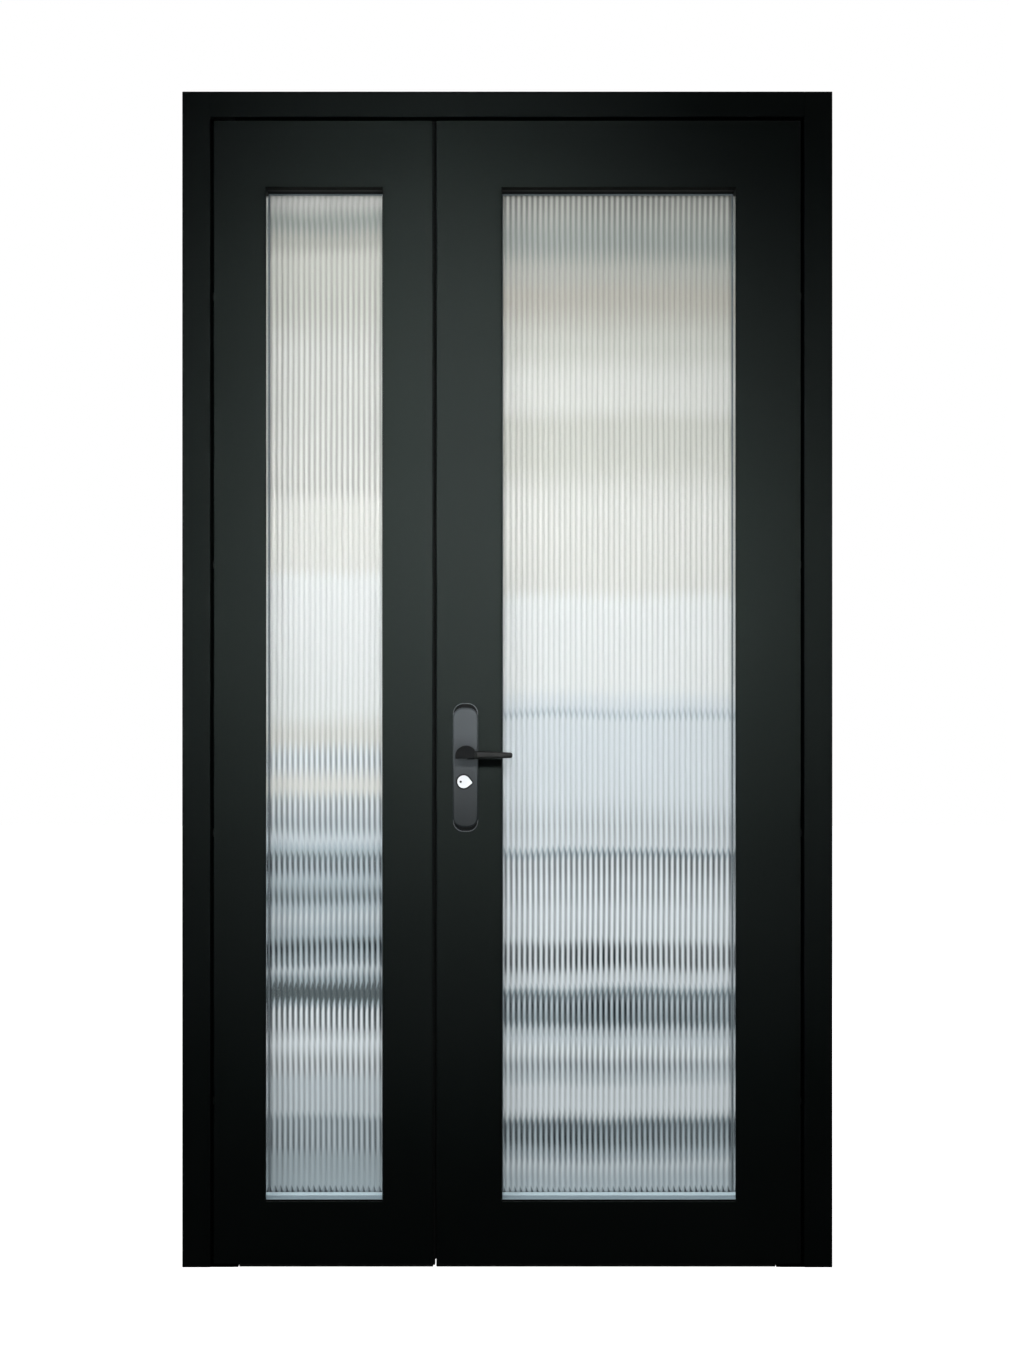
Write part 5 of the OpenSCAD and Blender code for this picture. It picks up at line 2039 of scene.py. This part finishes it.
@dataclass
class Studio:
    """The floor, the soft lights, the pale surroundings and the camera."""

    eye: Point = (-0.022, -3.035, 1.018)
    lens: float = 43.42
    shift: tuple[float, float] = (0.0075, 0.0309)

    def lamp(
        self,
        name: str,
        place: Point,
        aim: Point,
        size: tuple[float, float],
        watts: float,
        glossy: bool = False,
        beam: float = 180.0,
    ) -> None:
        """Adds a soft lamp with straight sides.

        Args:
            name: The lamp's name.
            place: Where it stands.
            aim: The point that it looks at.
            size: Its width and its height.
            watts: Its power.
            glossy: Whether it shows in gloss.
            beam: The angle of its beam, in degrees.
        """
        data = bpy.data.lights.new(name, "AREA")
        data.shape = "RECTANGLE"
        data.size, data.size_y = size
        data.energy = watts
        data.spread = math.radians(beam)
        made = bpy.data.objects.new(name, data)
        made.location = place
        made.rotation_euler = (Vector(aim) - Vector(place)).to_track_quat("-Z", "Y").to_euler()
        made.visible_camera = False
        made.visible_transmission = False
        made.visible_glossy = glossy
        bpy.context.collection.objects.link(made)

    def lights(self) -> None:
        """Adds the lamps: two whose glow shows in the paint, and others that only light."""
        self.lamp("front_softbox", (0.00, -3.05, 1.78), (-0.03, 0.0, 1.20), (1.2, 0.3), 2.95, True, 36.0)
        self.lamp("upper_softbox", (-0.14, -3.05, 2.35), (-0.16, 0.0, 1.86), (0.2, 0.2), 0.38, True, 22.0)
        self.lamp("front_fill", (-0.32, -3.05, 1.24), (0.0, 0.0, 0.95), (0.14, 0.14), 26.5)
        self.lamp("left_fill", (-2.40, -2.20, 1.30), (0.0, 0.0, 0.95), (1.4, 1.4), 34.0)
        self.lamp("low_fill", (0.2, -2.60, 0.25), (0.0, 0.0, 0.22), (0.9, 0.9), 11.0, beam=100.0)
        self.lamp("top_fill", (0.0, -1.40, 3.40), (0.0, 0.0, 0.90), (1.2, 1.2), 30.0)
        self.lamp("back_fill", (0.6, 3.20, 2.30), (0.0, 0.0, 1.00), (1.6, 1.6), 40.0)

    def surroundings(self) -> None:
        """Makes a white background that shows directly, through glass and, behind and above, in gloss."""
        world = bpy.data.worlds.new("studio")
        bpy.context.scene.world = world
        world.use_nodes = True
        sheet = Sheet(world.node_tree)
        shader = world.node_tree.nodes["Background"]
        path = sheet.node("LightPath")
        _, away, up = sheet.parts(sheet.node("TexCoord").outputs["Generated"])
        behind = sheet.spread(away, 0.0, 0.35, 0.003, 1.0)
        above = sheet.spread(up, 0.80, 0.96, 0.0, 0.9)
        glossy = sheet.math("MULTIPLY", path.outputs["Is Glossy Ray"], sheet.math("MAXIMUM", behind, above))
        seen = sheet.math("MAXIMUM", path.outputs["Is Camera Ray"], path.outputs["Is Transmission Ray"])
        plain = sheet.math("MULTIPLY", path.outputs["Is Diffuse Ray"], 0.22)
        strength = sheet.math("MAXIMUM", sheet.math("MAXIMUM", seen, glossy), plain)
        shader.inputs["Color"].default_value = (1.0, 1.0, 1.0, 1.0)
        sheet.put(shader.inputs["Strength"], strength)

    def floor(self) -> None:
        """Adds the pale floor, which is white to the eye apart from the door's shadow."""
        Bench.clear()
        bpy.ops.mesh.primitive_plane_add(size=24.0, location=(0.0, 0.0, -0.0002))
        floor = Bench.settle("studio_floor")
        material = bpy.data.materials.new("pale_floor")
        material.use_nodes = True
        sheet = Sheet(material.node_tree)
        nodes = material.node_tree.nodes
        nodes.remove(nodes["Principled BSDF"])
        matt = sheet.node("BsdfDiffuse")
        glow = sheet.node("Emission")
        path = sheet.node("LightPath")
        pale, dim = (0.55, 0.55, 0.55, 1.0), (0.02, 0.02, 0.02, 1.0)
        sheet.put(matt.inputs["Color"], sheet.mix(path.outputs["Is Glossy Ray"], pale, dim))
        sheet.put(
            glow.inputs["Strength"],
            sheet.math("MAXIMUM", path.outputs["Is Camera Ray"], path.outputs["Is Transmission Ray"]),
        )
        both = sheet.node("AddShader")
        sheet.put(both.inputs[0], matt.outputs[0])
        sheet.put(both.inputs[1], glow.outputs[0])
        sheet.put(nodes["Material Output"].inputs["Surface"], both.outputs[0])
        floor.data.materials.append(material)

    def camera(self) -> None:
        """Sets the camera square to the door, a little below its middle."""
        data = bpy.data.cameras.new("front_view")
        data.lens = self.lens
        data.sensor_width = 36.0
        data.shift_x, data.shift_y = self.shift
        made = bpy.data.objects.new("front_view", data)
        made.location = self.eye
        made.rotation_euler = (math.pi / 2, 0.0, 0.0)
        bpy.context.collection.objects.link(made)
        bpy.context.scene.camera = made

    def build(self) -> None:
        """Sets up the whole studio."""
        bpy.context.scene.view_settings.view_transform = "Standard"
        self.camera()
        self.lights()
        self.surroundings()
        self.floor()


def make_leaves(finishes: Finishes) -> list[Leaf]:
    """Gives both leaves their sizes, cut-outs and holes.

    Args:
        finishes: The door's finishes.

    Returns:
        The narrow leaf and the wide leaf.
    """
    pivot_x, pivot_y, pivot_hole, plate_screw_hole = 0.526, -0.024, 0.008, 0.0035
    lock_gap = (PLATE_Z - 0.1102, PLATE_Z + 0.1102)
    guide_gaps = ((0.0958, 0.2562), (1.8658, 2.0262))

    def ends(x: float, y: float, radius: float) -> tuple[Hole, ...]:
        """Gives the holes at one place in the bottom and the top of a leaf."""
        return tuple(Hole(Axis.Z, (x, y, z), radius, 0.012) for z in (LEAF_LOW, LEAF_HIGH))

    through = tuple(
        Hole(Axis.Y, (LOCK_X, 0.0, z), radius, 0.2)
        for z, radius in (
            (HANDLE_Z, 0.010),
            (KEY_Z, 0.0095),
            (PLATE_Z - PLATE_SCREW, plate_screw_hole),
            (PLATE_Z + PLATE_SCREW, plate_screw_hole),
        )
    )
    narrow = Leaf(
        finishes,
        "inactive",
        finishes.narrow_glass,
        left=-0.542,
        window_left=-0.446,
        window_right=-0.230,
        right=NARROW_EDGE,
        cut_x=NARROW_EDGE,
        cuts=(lock_gap, *guide_gaps),
        holes=ends(-pivot_x, pivot_y, pivot_hole) + ends(BOLT_X, LOCK_Y, BOLT_HOLE),
        reed_start=NARROW_REED,
    )
    wide = Leaf(
        finishes,
        "active",
        finishes.wide_glass,
        left=-0.131,
        window_left=-0.010,
        window_right=0.422,
        right=0.542,
        cut_x=LOCK_EDGE,
        cuts=(lock_gap,),
        holes=ends(pivot_x, pivot_y, pivot_hole) + through,
        reed_start=WIDE_REED,
        set_back=0.003,
    )
    return [narrow, wide]


def main() -> None:
    """Builds the studio and the door's sub-assemblies in order."""
    logging.basicConfig(level=logging.INFO, format="%(name)s %(message)s")
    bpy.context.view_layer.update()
    Studio().build()
    finishes = Finishes.build()
    FrameSurround(finishes).build()
    leaves = make_leaves(finishes)
    for leaf in leaves:
        leaf.build()
    LeverSet(finishes).build()
    SmallParts(finishes).build(leaves)
    Bench.clear()


if __name__ == "__main__":
    main()
